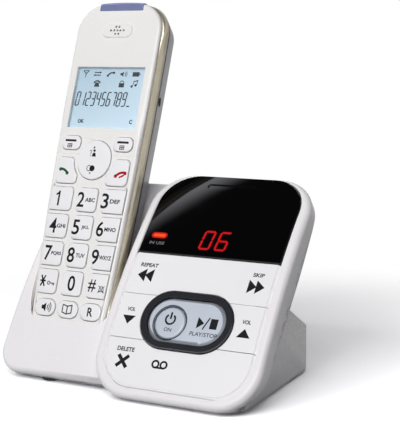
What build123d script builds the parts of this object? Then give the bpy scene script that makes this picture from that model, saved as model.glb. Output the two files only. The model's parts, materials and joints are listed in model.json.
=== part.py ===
from build123d import *
import os
from math import atan2, cos, degrees, hypot, radians, sin, tan

# Cordless telephone answering machine: a desk base with an answering panel and a cradle,
# and the handset that stands in the cradle. +X right, -Y front, +Z up, millimetres.
# The finished model is moved so that its origin is the bottom centre of its bounding box.

# ---------------------------------------------------------------- driving dimensions
# base, overall
CRADLE_MARGIN = 5.2        # cradle left of the handset's pocket
FOOT_HEIGHT = 2.0          # gap between the floor and the underside of the base
BASE_REAR_Y = 84.5         # rear wall, measured from the lower edge of the key field
WALL = 2.2                 # moulded wall of the base shells
SHELL_GAP = 0.15           # joint line between front and rear shell

# curved answering panel; stations are arc lengths up the panel from the key field's edge
PANEL_RADIUS = 311.5
PANEL_SLOPE = 61.15        # degrees from horizontal at station 0
PANEL_FOOT_Z = 7.2         # height of station 0 above the floor
PANEL_TOP = 107.5          # station of the base's top edge
POD_FOOT = -4.9            # station of the pod's lower edge
CRADLE_FOOT = 0.8          # station of the cradle's lower edge
POD_WIDTH = 79.0           # the answering panel with its rim, right of the pocket
POD_CORNER = 19.0          # corner radius of the pod's outline
POD_EDGE = 2.8             # round of the pod's front edge
POD_SIDE_DEPTH = 8.0       # depth of the front shell's side wall
LENS_MIDDLE = 12.6         # thickness of the pod at its middle, top and foot
LENS_TOP = 5.2
LENS_FOOT = 4.2
COVER_INSET = 0.6          # the rear cover is this much smaller than the front shell

# key field and window
FIELD_WIDTH = 69.6
FIELD_CORNER = 15.5        # lower corners of the key field
WINDOW_CORNER = 17.0       # upper corners of the window
ROW_1_TOP = 20.9           # stations of the lines between the key rows
ROW_2_TOP = 41.6
ROW_3_TOP = 61.7
WINDOW_TOP = 106.4
KEY_GAP = 0.35             # running gap round each key
KEY_BEVEL = 1.0
KEY_CAP = 2.2              # thickness of a base key cap
VOLUME_PLUNGER = 9.6       # plunger of a volume key, from the edge of the field
RIB_LIFT = 0.15            # fulcrum rib of a rocking key, above the pan floor
RIB_RADIUS = 0.6           # its round tip, about the key's hinge line
DELETE_HINGE = 4.0         # fulcrum of the delete key, from the right edge of the field
DECK_DEPTH = 3.5           # pan floor under the keys, below the panel face
DECK_WALL = 1.6
WINDOW_THICK = 2.0
WINDOW_BEVEL = 0.8

# oval play control
OVAL_STATION = 31.2
OVAL_WIDTH = 43.4
OVAL_HEIGHT = 26.6
OVAL_BAND = 3.0            # width of the bezel ring
OVAL_PROUD = 0.9           # how far the ring stands above the panel
OVAL_KEY_BEVEL = 1.3
OVAL_KEY_PROUD = 0.5
ANSWER_KEY_X = -7.3        # round key, from the oval's centre
ANSWER_KEY_DROP = 1.4
ANSWER_KEY_RADIUS = 7.1
ANSWER_KEY_GAP = 0.5       # running gap between the round key and the oval key

# window contents, from the left edge of the field and by station
LED_DIGITS_X = 36.4
LED_DIGITS_STATION = 70.6
IN_USE_X = 8.3
IN_USE_STATION = 71.2
IN_USE_WIDTH = 8.0
IN_USE_HEIGHT = 2.9
SLOT_X = 33.4
SLOT_STATION = 100.0
SLOT_WIDTH = 24.0
SLOT_HEIGHT = 3.0
SLOT_DEPTH = 0.6

# cradle
CRADLE_DROP = 7.5          # cradle surface below the panel surface
CRADLE_THICK = 6.5
CRADLE_EDGE = 2.5
CRADLE_LOW_CORNER = 11.0
CRADLE_TOP_CORNER = 15.0

# lower body behind the pod
BODY_LEFT_INSET = 2.1      # its front end, inside the sides of the front shell
BODY_RIGHT_INSET = 7.1
BODY_TAPER = 4.5
BODY_CORNER = 7.0
REAR_WALL_HEIGHT = 17.6
REAR_SLOPE = 27.5          # degrees, the sloping roof of the lower body

# handset: local frame, x right, y back from the face, z up from the display's lower edge
HANDSET_Y = 51.31
HANDSET_Z = 110.95
HANDSET_LEAN = 19.8
HANDSET_TOP = 62.2
HANDSET_BOTTOM = -101.0
HANDSET_HALF_TOP = 24.0
HANDSET_HALF_BOTTOM = 20.0
HANDSET_SHOULDER = 35.0    # height at which the sides start to narrow downwards
HANDSET_TOP_CORNER = 15.0
HANDSET_LOW_CORNER = 8.5
HANDSET_THICK = 21.0
HANDSET_CROWN = 1.6        # rise of the top edge between its corners
FACE_SKIN = 1.8            # wall of the front shell
FACE_EDGE = 1.5
BAND_FRONT = 2.2           # side band, from and to this depth behind the face
BAND_BACK = 6.6
BAND_FLARE = 1.0
REAR_FRONT = 7.6           # rear shell starts here; the band's shadow gap is before it
REAR_INSET = 0.3
REAR_TAPER = 17.0          # degrees, its sides lean in behind the joint
REAR_ROUND = 3.4           # depth over which its back edge turns in
REAR_STEPS = [(0.62, 40.0), (0.38, 62.0)]   # share of that depth, degrees
ROUND_LOSS = 0.65          # an inner wall's edge turns in later, by this share of its inset
REAR_SKIN = 2.0
GROOVE_INSET = 1.3

# handset display, lamp and earpiece
LCD_WIDTH = 37.0
LCD_HEIGHT = 29.6
LCD_RECESS = 0.6
LENS_THICK = 1.1
LAMP_HALF = 11.8
LAMP_HEIGHT = 5.0
LAMP_DEPTH = 8.6
EAR_DROP = 14.9            # earpiece below the handset's top
EARPIECE_GAP = 0.4
EAR_WIDTH = 16.4
EAR_TALL = 6.8
EAR_HOLE = 0.55
EAR_PITCH = 1.7

# handset keys
CAP_PROUD = 0.8
CAP_BACK = 1.6             # inner end of a key cap, behind the face
CAP_GAP = 0.25
CAP_EDGE = 0.4
COLUMN_PITCH = 13.9
DIGIT_WIDTH = 10.6
DIGIT_INNER = 8.2          # inner side of the outer columns, from the middle
KEY_RIM = 3.0              # their outer side, inside the handset's outline
DIGIT_HEIGHT = 11.1
DIGIT_CORNER = 1.8
DIGIT_ROW_0 = -34.2        # centre height of the row 1 2 3
ROW_PITCH = 12.94
ROUND_KEY_WIDTH = 10.9
ROUND_KEY_CORNER = 3.6
ROUND_KEY_HEIGHT = 7.7
ROUND_KEY_PITCH = 12.2
ROUND_KEY_ROW = -84.9
SOFT_WIDTH = 10.0
SOFT_HEIGHT = 6.7
SOFT_CORNER = 2.6
SOFT_X = 14.0
SOFT_ROW = -7.5
NAV_WIDTH = 17.6
NAV_HEIGHT = 18.6
NAV_ROW = -15.3
CALL_TOP = -14.6
CALL_BOTTOM = -27.0
CALL_OUTER = 19.3
CALL_INNER = 7.9
CALL_NAV_GAP = 1.5
CALL_CORNER = 2.0
MIC_ROW = -90.7
NAV_CORNER = 8.7
PIVOT_RADIUS = 0.6
EAR_PROUD = 0.4
FACE_LINE = -12.9          # shallow groove across the face, above the call keys
FACE_LINE_WIDTH = 0.3
FACE_LINE_DEPTH = 0.2

# handset inside
MAT_FRONT = 2.6
MAT_THICK = 1.0
BOARD_THICK = 1.2
CELL_RADIUS = 5.25
CELL_LENGTH = 44.5
DOOR_TOP = 7.6
DOOR_BOTTOM = -92.0
DOOR_THICK = 1.7
DOOR_GAP = 0.2
DOOR_FRONT = 9.2
DOOR_TRAVEL = 6.0
JACK_HEIGHT = 16.2
JACK_DEPTH = 10.4
JACK_BORE = 1.25
JACK_BARREL = 2.1
JACK_LENGTH = 12.0         # depth of the bore
SOCKET_BODY = 12.0
FACE_INSET = 1.2           # front shell's face, inside the band's widest line
SKIRT_INSET = 2.0
SKIRT_WALL = 1.4
HANDSET_SCREW_ROW = -66.0
SMALL_SCREW = 0.9
SCREW_TUBE_FRONT = 9.3
BAY_TOP = -3.4             # upper end of the battery bay
BAY_FRONT = 8.4
LOUDSPEAKER_HEIGHT = 35.0

# cradle pocket round the handset
POCKET_SIDE_GAP = 0.5      # between the handset's widest line and the pocket's sides
POCKET_GAP = 0.4           # between the handset and the pocket's floor, front and back
POCKET_WALL = 1.8
POCKET_FRONT_ROUND = 8.0
POCKET_REAR_ROUND = 7.2
CONTACT_X = 7.5
CONTACT_WIDTH = 3.0
CONTACT_LENGTH = 5.0
CONTACT_PROUD = 0.05

# inside the base
FIT_GAP = 0.1              # between pieces that are fixed to each other
BOARD_STATION = 26.2       # middle of the key board
BOARD_DEPTH = 8.9          # front of the key board, below the panel face
BOARD_HEIGHT = 42.5
BOARD_LEFT_INSET = 2.3     # sides of the key board, inside the key field
BOARD_RIGHT_INSET = 7.4
BOARD_NOTCH = 7.5          # corners cut off the key board, clear of the screw bosses
BOARD_NOTCH_TOP = 12.5
BOARD_NOTCH_FOOT = 12.0
REAR_BOSS_TOP = 30.0
BOARD_PLATE = 1.6
KEY_MAT = 1.2
PLUNGER_LIFT = 1.1         # free height between a plunger and the mat
MAIN_BOARD_Z = 4.5
MAIN_BOARD_FRONT = 54.0
SPEAKER_RADIUS = 17.0
SPEAKER_OFFSET = 5.1       # speaker left of the panel's middle
SPEAKER_Y = 35.0
SPEAKER_HEIGHT = 8.0
LED_MODULE_WIDTH = 18.0
LED_MODULE_HEIGHT = 14.0
LED_MODULE_DEPTH = 6.0
JACK_Z = 11.6              # middle height of the sockets in the rear wall
LINE_JACK_INSET = 42.6     # line socket, from the left side of the base
LINE_JACK_WIDTH = 9.6
LINE_JACK_HEIGHT = 6.6
JACK_PITCH = 26.0          # from the line socket to the power socket
POWER_BORE = 3.1
POWER_PIN = 0.9
POWER_OPENING = 8.4        # square opening of the rear wall in front of the power socket
POWER_DEPTH = 9.5
POWER_RECESS = 3.0         # tip of the centre pin behind the socket's mouth
POST_RADIUS = 1.8
SCREW_RADIUS = 1.3
BOSS_RADIUS = 2.8
HEAD_RADIUS = 2.6
HEAD_HEIGHT = 1.1
FOOT_RADIUS = 4.75
FOOT_INSET = 24.6          # feet and screws, from the sides of the base
FOOT_FRONT_Y = 17.0
SCREW_LEFT_INSET = 11.6
SCREW_RIGHT_INSET = 15.1
FOOT_REAR_Y = 74.0

# ---------------------------------------------------------------- derived places
POCKET_HALF = HANDSET_HALF_TOP + POCKET_SIDE_GAP
BASE_WIDTH = CRADLE_MARGIN + 2 * POCKET_HALF + POD_WIDTH
HALF_WIDTH = BASE_WIDTH / 2
POD_RIGHT = HALF_WIDTH
POD_LEFT = HALF_WIDTH - POD_WIDTH
FIELD_X = (POD_LEFT + POD_RIGHT) / 2
FIELD_LEFT = FIELD_X - FIELD_WIDTH / 2
FIELD_RIGHT = FIELD_X + FIELD_WIDTH / 2
AXIS_Y = PANEL_RADIUS * sin(radians(PANEL_SLOPE))
AXIS_Z = PANEL_FOOT_Z - PANEL_RADIUS * cos(radians(PANEL_SLOPE))
CRADLE_BACK = CRADLE_DROP + CRADLE_THICK
DECK_BACK = DECK_DEPTH + DECK_WALL
BODY_TOP_Z = FOOT_HEIGHT + REAR_WALL_HEIGHT
HANDSET_X = POD_LEFT - POCKET_HALF
BODY_LEFT = HALF_WIDTH - BODY_LEFT_INSET
BODY_RIGHT = HALF_WIDTH - BODY_RIGHT_INSET
BOARD_LEFT = FIELD_LEFT + BOARD_LEFT_INSET
BOARD_RIGHT = FIELD_RIGHT - BOARD_RIGHT_INSET
SPEAKER_X = FIELD_X - SPEAKER_OFFSET
LINE_JACK_X = LINE_JACK_INSET - HALF_WIDTH
POWER_JACK_X = LINE_JACK_X + JACK_PITCH
LAMP_BOTTOM = HANDSET_TOP - LAMP_HEIGHT
EAR_HEIGHT = HANDSET_TOP - EAR_DROP
EARPIECE_RADIUS = LAMP_BOTTOM - EARPIECE_GAP - EAR_HEIGHT
POCKET_REAR = HANDSET_THICK + POCKET_GAP
POCKET_FLOOR = HANDSET_BOTTOM - POCKET_GAP
FAR = 2 * BASE_WIDTH
LOW_ALIGNED = (Align.CENTER, Align.CENTER, Align.MIN)
TOP_ALIGNED = (Align.CENTER, Align.CENTER, Align.MAX)
SEAT = Pos(HANDSET_X, HANDSET_Y, HANDSET_Z) * Rot(-HANDSET_LEAN, 0, 0)


# ---------------------------------------------------------------- panel geometry
def station(t, depth=0.0):
    """(y, z) at arc length t up the panel, depth below its face."""
    angle = radians(PANEL_SLOPE) - t / PANEL_RADIUS
    radius = PANEL_RADIUS - depth
    return AXIS_Y - radius * sin(angle), AXIS_Z + radius * cos(angle)


def panel_plane(x, t, depth=0.0):
    """Plane tangent to the panel: x right, y up the panel, z out of its face."""
    angle = radians(PANEL_SLOPE) - t / PANEL_RADIUS
    return Plane(origin=(x, *station(t, depth)), x_dir=(1, 0, 0),
                 z_dir=(0, -sin(angle), cos(angle)))


def panel_disc(depth):
    """Everything that lies deeper than this below the panel face."""
    return Pos(0, AXIS_Y, AXIS_Z) * Rot(0, 90, 0) * Cylinder(PANEL_RADIUS - depth, FAR)


def side_profile(corners, bulges, x0, x1):
    """Extrude a closed YZ outline from x0 to x1; bulges holds a mid point for each arc side."""
    edges = []
    for here, there, mid in zip(corners, corners[1:] + corners[:1], bulges):
        start, end = (x0, *here), (x0, *there)
        edges.append(Line(start, end) if mid is None else ThreePointArc(start, (x0, *mid), end))
    return Solid.extrude(Face(Wire(edges)), Vector(x1 - x0, 0, 0))


def sector(t0, t1, depth0, depth1, x0, x1):
    """Block that follows the panel between two stations and two depths."""
    mid = (t0 + t1) / 2
    corners = [station(t0, depth0), station(t1, depth0), station(t1, depth1), station(t0, depth1)]
    bulges = [station(mid, depth0), None, station(mid, depth1), None]
    return side_profile(corners, bulges, x0, x1)


def cross_edges(solid, x, upper):
    """The short straight edge across the thickness at side x, upper or lower end."""
    found = [e for e in solid.edges()
             if e.geom_type == GeomType.LINE and abs(e.tangent_at(0.5).X) < 0.1
             and abs(e.center().X - x) < 0.01]
    return sorted(found, key=lambda e: e.center().Z)[-1 if upper else 0]


def round_corners(solid, places):
    """Fillet the outline corners of a panel block: places holds (x, upper, radius)."""
    for x, upper, radius in places:
        solid = fillet([cross_edges(solid, x, upper)], radius)
    return solid


def face_edges(solid, depth):
    """Edges that lie wholly on the panel surface of this depth."""
    def on_surface(edge):
        points = [edge.position_at(s) for s in (0.0, 0.3, 0.7, 1.0)]
        return all(abs(hypot(p.Y - AXIS_Y, p.Z - AXIS_Z) - PANEL_RADIUS + depth) < 0.01
                   for p in points)
    return [e for e in solid.edges() if on_surface(e)]


def stadium(width, height):
    """Oval with straight long sides."""
    return SlotOverall(width, height)


def circle_through(a, b, c):
    """Centre and radius of the circle through three (y, z) points."""
    (ay, az), (by, bz), (cy, cz) = a, b, c
    d = 2 * (ay * (bz - cz) + by * (cz - az) + cy * (az - bz))
    a2, b2, c2 = ay**2 + az**2, by**2 + bz**2, cy**2 + cz**2
    y = (a2 * (bz - cz) + b2 * (cz - az) + c2 * (az - bz)) / d
    z = (a2 * (cy - by) + b2 * (ay - cy) + c2 * (by - ay)) / d
    return y, z, hypot(ay - y, az - z)


LENS_Y, LENS_Z, LENS_RADIUS = circle_through(
    station(0, LENS_FOOT), station(PANEL_TOP / 2, LENS_MIDDLE), station(PANEL_TOP, LENS_TOP))


def lens_disc(inset=0.0):
    """Everything in front of the pod's curved back."""
    return Pos(0, LENS_Y, LENS_Z) * Rot(0, 90, 0) * Cylinder(LENS_RADIUS - inset, FAR)


def group(pieces):
    """Several loose solids as one node."""
    return Part() + pieces


def block(x0, x1, y0, y1, z0, z1):
    """Box between two corners."""
    return Pos((x0 + x1) / 2, (y0 + y1) / 2, (z0 + z1) / 2) * Box(x1 - x0, y1 - y0, z1 - z0)


# ---------------------------------------------------------------- base front shell
def pod_outline(inset, depth0, depth1):
    """Solid of the pod's rounded outline between two depths."""
    left, right = POD_LEFT + inset, POD_RIGHT - inset
    solid = sector(POD_FOOT + inset, PANEL_TOP - inset, depth0, depth1, left, right)
    return round_corners(solid, [(x, upper, POD_CORNER - inset) for x in (left, right)
                                 for upper in (True, False)])


def cradle_outline(inset, depth0, depth1, right):
    """Solid of the cradle's outline between two depths, square where it meets the pod."""
    left = -HALF_WIDTH + inset
    solid = sector(CRADLE_FOOT + inset, PANEL_TOP - inset, depth0, depth1, left, right)
    return round_corners(solid, [(left, False, CRADLE_LOW_CORNER - inset),
                                 (left, True, CRADLE_TOP_CORNER - inset)])


def above_floor(inset=0.0):
    """Everything above the base's level underside."""
    return block(-FAR, FAR, -FAR, FAR, FOOT_HEIGHT + inset, FAR)


def pod_body():
    """Pod: front face, rounded rim and side walls, open at the back."""
    outer = pod_outline(0, 0, POD_SIDE_DEPTH)
    outer = fillet(face_edges(outer, 0), POD_EDGE) & above_floor()
    hollow = pod_outline(WALL, DECK_BACK, POD_SIDE_DEPTH + WALL) & above_floor(WALL)
    pan = recess(0, ROW_3_TOP, DECK_DEPTH, lower=FIELD_CORNER)
    seat = recess(ROW_3_TOP - KEY_GAP, WINDOW_TOP, WINDOW_THICK + SHELL_GAP, upper=WINDOW_CORNER)
    return outer - hollow - pan - seat


def recess(t0, t1, depth, lower=0.0, upper=0.0):
    """Cutter for the key field or the window seat, one gap larger than what lies in it."""
    left, right = FIELD_LEFT - KEY_GAP, FIELD_RIGHT + KEY_GAP
    low = t0 - KEY_GAP if lower else t0
    high = t1 + KEY_GAP if upper else t1
    solid = sector(low, high, -WALL, depth, left, right)
    places = [(x, False, lower + KEY_GAP) for x in (left, right) if lower]
    places += [(x, True, upper + KEY_GAP) for x in (left, right) if upper]
    return round_corners(solid, places)


def pod_trim():
    """Cutter that leaves the overhanging sides and the top of the pod lens-shaped."""
    reach = block(BODY_RIGHT - WALL, FAR, -FAR, FAR, -FAR, FAR)
    top = block(POD_LEFT + WALL, FAR, -FAR, FAR, station(PANEL_TOP / 2)[1], FAR)
    return (reach + top) - lens_disc()


def pocket_section(grow, front_grow):
    """Plan of the handset's pocket in the handset frame, seen along its length."""
    half = POCKET_HALF + grow
    front, back = -POCKET_GAP - front_grow, POCKET_REAR + grow
    outline = Pos(0, (front + back) / 2) * Rectangle(2 * half, back - front)
    front_corners = outline.vertices().sort_by(Axis.Y)[:2]
    outline = fillet(front_corners, POCKET_FRONT_ROUND + grow)
    rear_corners = outline.vertices().sort_by(Axis.Y)[-2:]
    return fillet(rear_corners, POCKET_REAR_ROUND + grow)


def pocket(grow, floor, height):
    """Pocket volume standing along the handset's length."""
    return SEAT * Pos(0, 0, floor) * extrude(pocket_section(grow, grow), height - floor)


def cradle_body():
    """Cradle: recessed backrest with its lip, and the pocket that takes the handset."""
    under_pod = POD_LEFT + POD_CORNER
    outer = cradle_outline(0, CRADLE_DROP, CRADLE_BACK, under_pod)
    outer = fillet(face_edges(outer, CRADLE_DROP), CRADLE_EDGE) & above_floor()
    hollow = cradle_outline(WALL, CRADLE_DROP + WALL, CRADLE_BACK + WALL, POD_LEFT)
    hollow = hollow & above_floor(WALL)
    walls = pocket(POCKET_WALL, POCKET_FLOOR - POCKET_WALL, 0) & panel_disc(CRADLE_DROP + WALL / 2)
    low, high = middle_heights()
    behind_pod = block(POD_LEFT + WALL, FAR, -FAR, FAR, low, high)
    behind_corner = block(POD_LEFT + POD_CORNER / 3, FAR, -FAR, FAR, 0, high)
    shell = outer - hollow + walls - behind_pod - behind_corner
    return shell - pocket(0, POCKET_FLOOR, HANDSET_TOP)


def middle_heights():
    """Heights between the pod's lower and upper corners, where nothing lies behind its side."""
    return station(POD_CORNER / 2)[1], station(PANEL_TOP - POD_CORNER)[1]


def screw_places():
    """(x, y, top) of the base screws; top is where the boss may end."""
    left, right = SCREW_LEFT_INSET - HALF_WIDTH, HALF_WIDTH - SCREW_RIGHT_INSET
    return [(left, 20.0, FAR), (left, 47.0, REAR_BOSS_TOP), (right, 12.0, FAR), (right, 30.0, FAR)]


def screw_bosses():
    """Posts under the front shell that take the base screws."""
    low = FOOT_HEIGHT + WALL + SHELL_GAP
    bosses = []
    for x, y, top in screw_places():
        depth = CRADLE_DROP if x < POD_LEFT else DECK_DEPTH
        post = Pos(x, y, low) * Cylinder(BOSS_RADIUS, min(top, PANEL_TOP) - low, align=LOW_ALIGNED)
        bosses.append(post & panel_disc(depth + 0.5))
    return bosses


def post_holes():
    """Clearance holes in the key deck for the plungers of the key caps."""
    holes = []
    for places in plunger_places().values():
        for x, t, radius in places:
            holes.append(panel_plane(x, t, DECK_DEPTH + 1) * Cylinder(radius + 0.6, 6))
    return holes


def base_front_shell():
    shell = cradle_body()
    shell += pod_body() - pod_trim()
    left_wall = sector(POD_CORNER / 2, PANEL_TOP - POD_CORNER, DECK_DEPTH, CRADLE_BACK,
                       POD_LEFT, POD_LEFT + WALL)
    shell += left_wall
    for boss in screw_bosses():
        shell += boss - pocket(0, POCKET_FLOOR, HANDSET_TOP)
    for x, y, _ in screw_places():
        shell -= Pos(x, y, FOOT_HEIGHT) * Cylinder(SCREW_RADIUS, 30)
    for hole in post_holes():
        shell -= hole
    for x, t in board_posts():
        shell += board_post(x, t, POST_RADIUS, 0)
    module = panel_plane(FIELD_LEFT + LED_DIGITS_X, LED_DIGITS_STATION, 0)
    shell -= module * Box(LED_MODULE_WIDTH + 0.4, LED_MODULE_HEIGHT + 0.4, 30)
    pipe = panel_plane(FIELD_LEFT + IN_USE_X, IN_USE_STATION, 0)
    shell -= pipe * extrude(stadium(IN_USE_WIDTH + 0.4, IN_USE_HEIGHT + 0.4), 12, both=True)
    for x in (-CONTACT_X, CONTACT_X):
        shell -= contact_slot(x)
    return shell


# ---------------------------------------------------------------- base rear shell
def plan_prism(inset):
    """Lower body seen from above: slightly tapered to the rear, with round rear corners."""
    left, right, rear = -BODY_LEFT + inset, BODY_RIGHT - inset, BASE_REAR_Y - inset
    points = [(left, 0), (right, 0), (right - BODY_TAPER, rear), (left + BODY_TAPER, rear)]
    outline = Polygon(*points, align=None)
    outline = fillet(outline.vertices().sort_by(Axis.Y)[-2:], BODY_CORNER - inset)
    return Pos(0, 0, FOOT_HEIGHT + inset) * extrude(outline, FAR / 2)


def roof_height(y, inset=0.0):
    """Height of the lower body's sloping roof at y."""
    drop = tan(radians(REAR_SLOPE))
    return BODY_TOP_Z + (BASE_REAR_Y - y) * drop - inset / cos(radians(REAR_SLOPE))


def roof_prism(inset):
    """Side profile of the lower body, extruded across."""
    crest = station(PANEL_TOP * 0.45, POD_SIDE_DEPTH)[0]
    corners = [(0, 0), (BASE_REAR_Y, 0), (BASE_REAR_Y, roof_height(BASE_REAR_Y, inset)),
               (crest, roof_height(crest, inset)), (0, roof_height(crest, inset))]
    return side_profile(corners, [None] * 5, -FAR / 2, FAR / 2)


def lower_body(inset):
    """Lower body, kept inside the outline of the front shell that it stands behind."""
    behind = pod_outline(COVER_INSET + inset, 0, BASE_REAR_Y)
    behind += cradle_outline(COVER_INSET + inset, 0, BASE_REAR_Y, POD_LEFT + POD_CORNER)
    return plan_prism(inset) & roof_prism(inset) & behind


def pod_cover(inset):
    """Curved back of the pod."""
    solid = pod_outline(COVER_INSET + inset, POD_SIDE_DEPTH, 2 * LENS_MIDDLE)
    solid = solid & lens_disc(inset)
    above = block(-FAR, FAR, -FAR, FAR, roof_height(BASE_REAR_Y) - inset, FAR)
    return solid & above


def bulge(inset):
    """Back of the pocket, which stands proud behind the cradle."""
    grow = POCKET_WALL + SHELL_GAP + WALL - inset
    return pocket(grow, POCKET_FLOOR, 0) & plan_left(inset)


def plan_left(inset):
    return block(-HALF_WIDTH + 1.5 + inset, POD_LEFT + 8 - inset, -FAR, FAR,
                 FOOT_HEIGHT + inset, FAR)


def front_zone():
    """Space that belongs to the front shell, one joint gap deep at its back."""
    low = middle_heights()[0]
    under_corner = POD_LEFT + POD_CORNER / 3 + SHELL_GAP
    corner_side = block(POD_LEFT, under_corner, -FAR, FAR, -FAR, low + SHELL_GAP)
    pod_side = block(POD_LEFT + WALL + SHELL_GAP, FAR, -FAR, FAR, -FAR, FAR)
    cradle_side = block(-FAR, POD_LEFT + WALL + SHELL_GAP, -FAR, FAR, -FAR, FAR)
    pod_zone = pod_side - panel_disc(POD_SIDE_DEPTH + SHELL_GAP)
    cradle_zone = cradle_side - panel_disc(CRADLE_BACK + SHELL_GAP)
    return pod_zone, cradle_zone, corner_side - panel_disc(CRADLE_BACK + SHELL_GAP)


def base_rear_shell():
    outer = lower_body(0) + pod_cover(0) + bulge(0)
    inner = lower_body(WALL) + pod_cover(WALL) + pocket(POCKET_WALL + SHELL_GAP,
                                                       POCKET_FLOOR - POCKET_WALL - SHELL_GAP, 0)
    shell = outer - inner
    for zone in front_zone():
        shell -= zone
    for x, y, _ in screw_places():
        shell -= Pos(x, y, 0) * Cylinder(HEAD_RADIUS + 0.3, 2 * (FOOT_HEIGHT + HEAD_HEIGHT + 0.1))
        shell -= Pos(x, y, 0) * Cylinder(SCREW_RADIUS + 0.2, 20)
    shell -= block(LINE_JACK_X - LINE_JACK_WIDTH / 2 - 0.4, LINE_JACK_X + LINE_JACK_WIDTH / 2 + 0.4,
                   BASE_REAR_Y - 2 * WALL, FAR, JACK_Z - LINE_JACK_HEIGHT / 2 - 0.6,
                   JACK_Z + LINE_JACK_HEIGHT / 2 + 0.6)
    shell -= Pos(POWER_JACK_X, BASE_REAR_Y, JACK_Z) * Box(POWER_OPENING, 4 * WALL, POWER_OPENING)
    for i in range(-4, 5):
        reach = SPEAKER_RADIUS - 4 - abs(i) * 1.2
        shell -= Pos(SPEAKER_X + i * 3.0, SPEAKER_Y, 0) * Box(1.5, 1.6 * reach, 20)
    return shell


def plunger_places():
    """(x, station, radius) of every plunger under the base key caps."""
    return {
        "delete_key": [(FIELD_LEFT + 9, ROW_1_TOP / 2, 2.0)],
        "volume_down_key": [(FIELD_LEFT + VOLUME_PLUNGER, OVAL_STATION, 1.6)],
        "volume_up_key": [(FIELD_RIGHT - VOLUME_PLUNGER, OVAL_STATION, 1.6)],
        "repeat_skip_key": [(FIELD_LEFT + 9, ROW_2_TOP + 4.4, 2.0),
                            (FIELD_RIGHT - 16, ROW_2_TOP + 4.4, 2.0)],
        "answer_on_key": [(FIELD_X + ANSWER_KEY_X, OVAL_STATION - ANSWER_KEY_DROP, 2.0)],
        "play_stop_key": [(FIELD_X + 10, OVAL_STATION, 2.0)],
    }


def contact_slot(x):
    return SEAT * Pos(x, HANDSET_THICK / 2, POCKET_FLOOR) * Box(CONTACT_WIDTH + 0.4, 8.4, 8)


# ---------------------------------------------------------------- base fittings
def key_plane(x, t):
    """Tangent plane at a key's middle: +Z points out of the panel."""
    return panel_plane(x, t, 0)


def oval_prism(width, height, low, high):
    """Stadium about the oval's centre between two heights above the panel."""
    plane = panel_plane(FIELD_X, OVAL_STATION, 0)
    return plane * Pos(0, 0, low) * extrude(stadium(width, height), high - low)


def play_bezel_ring():
    outer = oval_prism(OVAL_WIDTH, OVAL_HEIGHT, -2 * DECK_DEPTH, OVAL_PROUD)
    rim = outer.faces().sort_by(Axis.Z)[-1].edges()
    outer = chamfer(rim, OVAL_PROUD / 2)
    inner = oval_prism(OVAL_WIDTH - 2 * OVAL_BAND, OVAL_HEIGHT - 2 * OVAL_BAND, -9, 9)
    return outer - inner - panel_disc(DECK_DEPTH - FIT_GAP / 2)


def plungers(node):
    """Plungers of one key cap, ending above the mat of the key board."""
    below_mat = board_plane() * Pos(0, 0, -FAR / 2 + PLUNGER_LIFT) * Box(FAR, FAR, FAR)
    pins = []
    for x, t, radius in plunger_places()[node]:
        pin = key_plane(x, t) * Pos(0, 0, -1) * Cylinder(radius, 20, align=TOP_ALIGNED)
        pins.append(pin - below_mat)
    return pins


def board_plane():
    """Front of the key mat, tangent to the panel at the middle of the board."""
    middle = FIELD_X
    return panel_plane(middle, BOARD_STATION, BOARD_DEPTH - KEY_MAT - FIT_GAP / 2)


def key_plate():
    """The whole key field in one piece, bevelled round its two sides and its foot."""
    plate = sector(0, ROW_3_TOP, 0, KEY_CAP, FIELD_LEFT, FIELD_RIGHT)
    plate = round_corners(plate, [(x, False, FIELD_CORNER) for x in (FIELD_LEFT, FIELD_RIGHT)])
    top_z = station(ROW_3_TOP)[1]
    border = [e for e in face_edges(plate, 0) if e.center().Z < top_z - 1]
    return chamfer(border, KEY_BEVEL)


def row_key(node, plate, t0, t1, x0, x1):
    """One key of the key field, cut clear of its neighbours and of the ring."""
    half = KEY_GAP / 2
    zone = sector(t0 + half, t1 - half, -WALL, KEY_CAP + 1, x0, x1)
    clear = oval_prism(OVAL_WIDTH + 2 * KEY_GAP, OVAL_HEIGHT + 2 * KEY_GAP, -9, 9)
    cap = (plate & zone) - clear
    for pin in plungers(node):
        cap += pin
    return cap


def repeat_skip_key(plate):
    """Rocker: pressed at its left or its right end, it turns on the rib under its middle."""
    key = row_key("repeat_skip_key", plate, ROW_2_TOP, ROW_3_TOP, FIELD_LEFT - 1, FIELD_RIGHT + 1)
    return key + fulcrum(FIELD_X, ROW_2_TOP, ROW_3_TOP, OVAL_HEIGHT / 4)


def fulcrum(x, t0, t1, short):
    """Rib under a rocking key, with a round tip that the key turns on."""
    plane = panel_plane(x, (t0 + t1) / 2, DECK_DEPTH - RIB_LIFT - RIB_RADIUS)
    length = t1 - t0 - short
    web = plane * Box(2 * RIB_RADIUS, length, DECK_DEPTH - KEY_CAP, align=LOW_ALIGNED)
    return web + plane * Rot(90, 0, 0) * Cylinder(RIB_RADIUS, length)


def delete_key(plate):
    """Full-width key that turns on the rib under its right end."""
    key = row_key("delete_key", plate, 0, ROW_1_TOP, FIELD_LEFT - 1, FIELD_RIGHT + 1)
    return key + fulcrum(FIELD_RIGHT - DELETE_HINGE, 0, ROW_1_TOP, FIELD_CORNER)


def volume_key(node, plate, x0, x1):
    return row_key(node, plate, ROW_1_TOP, ROW_2_TOP, x0, x1)


def answer_hole(grow):
    plane = panel_plane(FIELD_X + ANSWER_KEY_X, OVAL_STATION, 0)
    return plane * Pos(0, -ANSWER_KEY_DROP, 0) * Cylinder(ANSWER_KEY_RADIUS + grow, 24)


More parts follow.
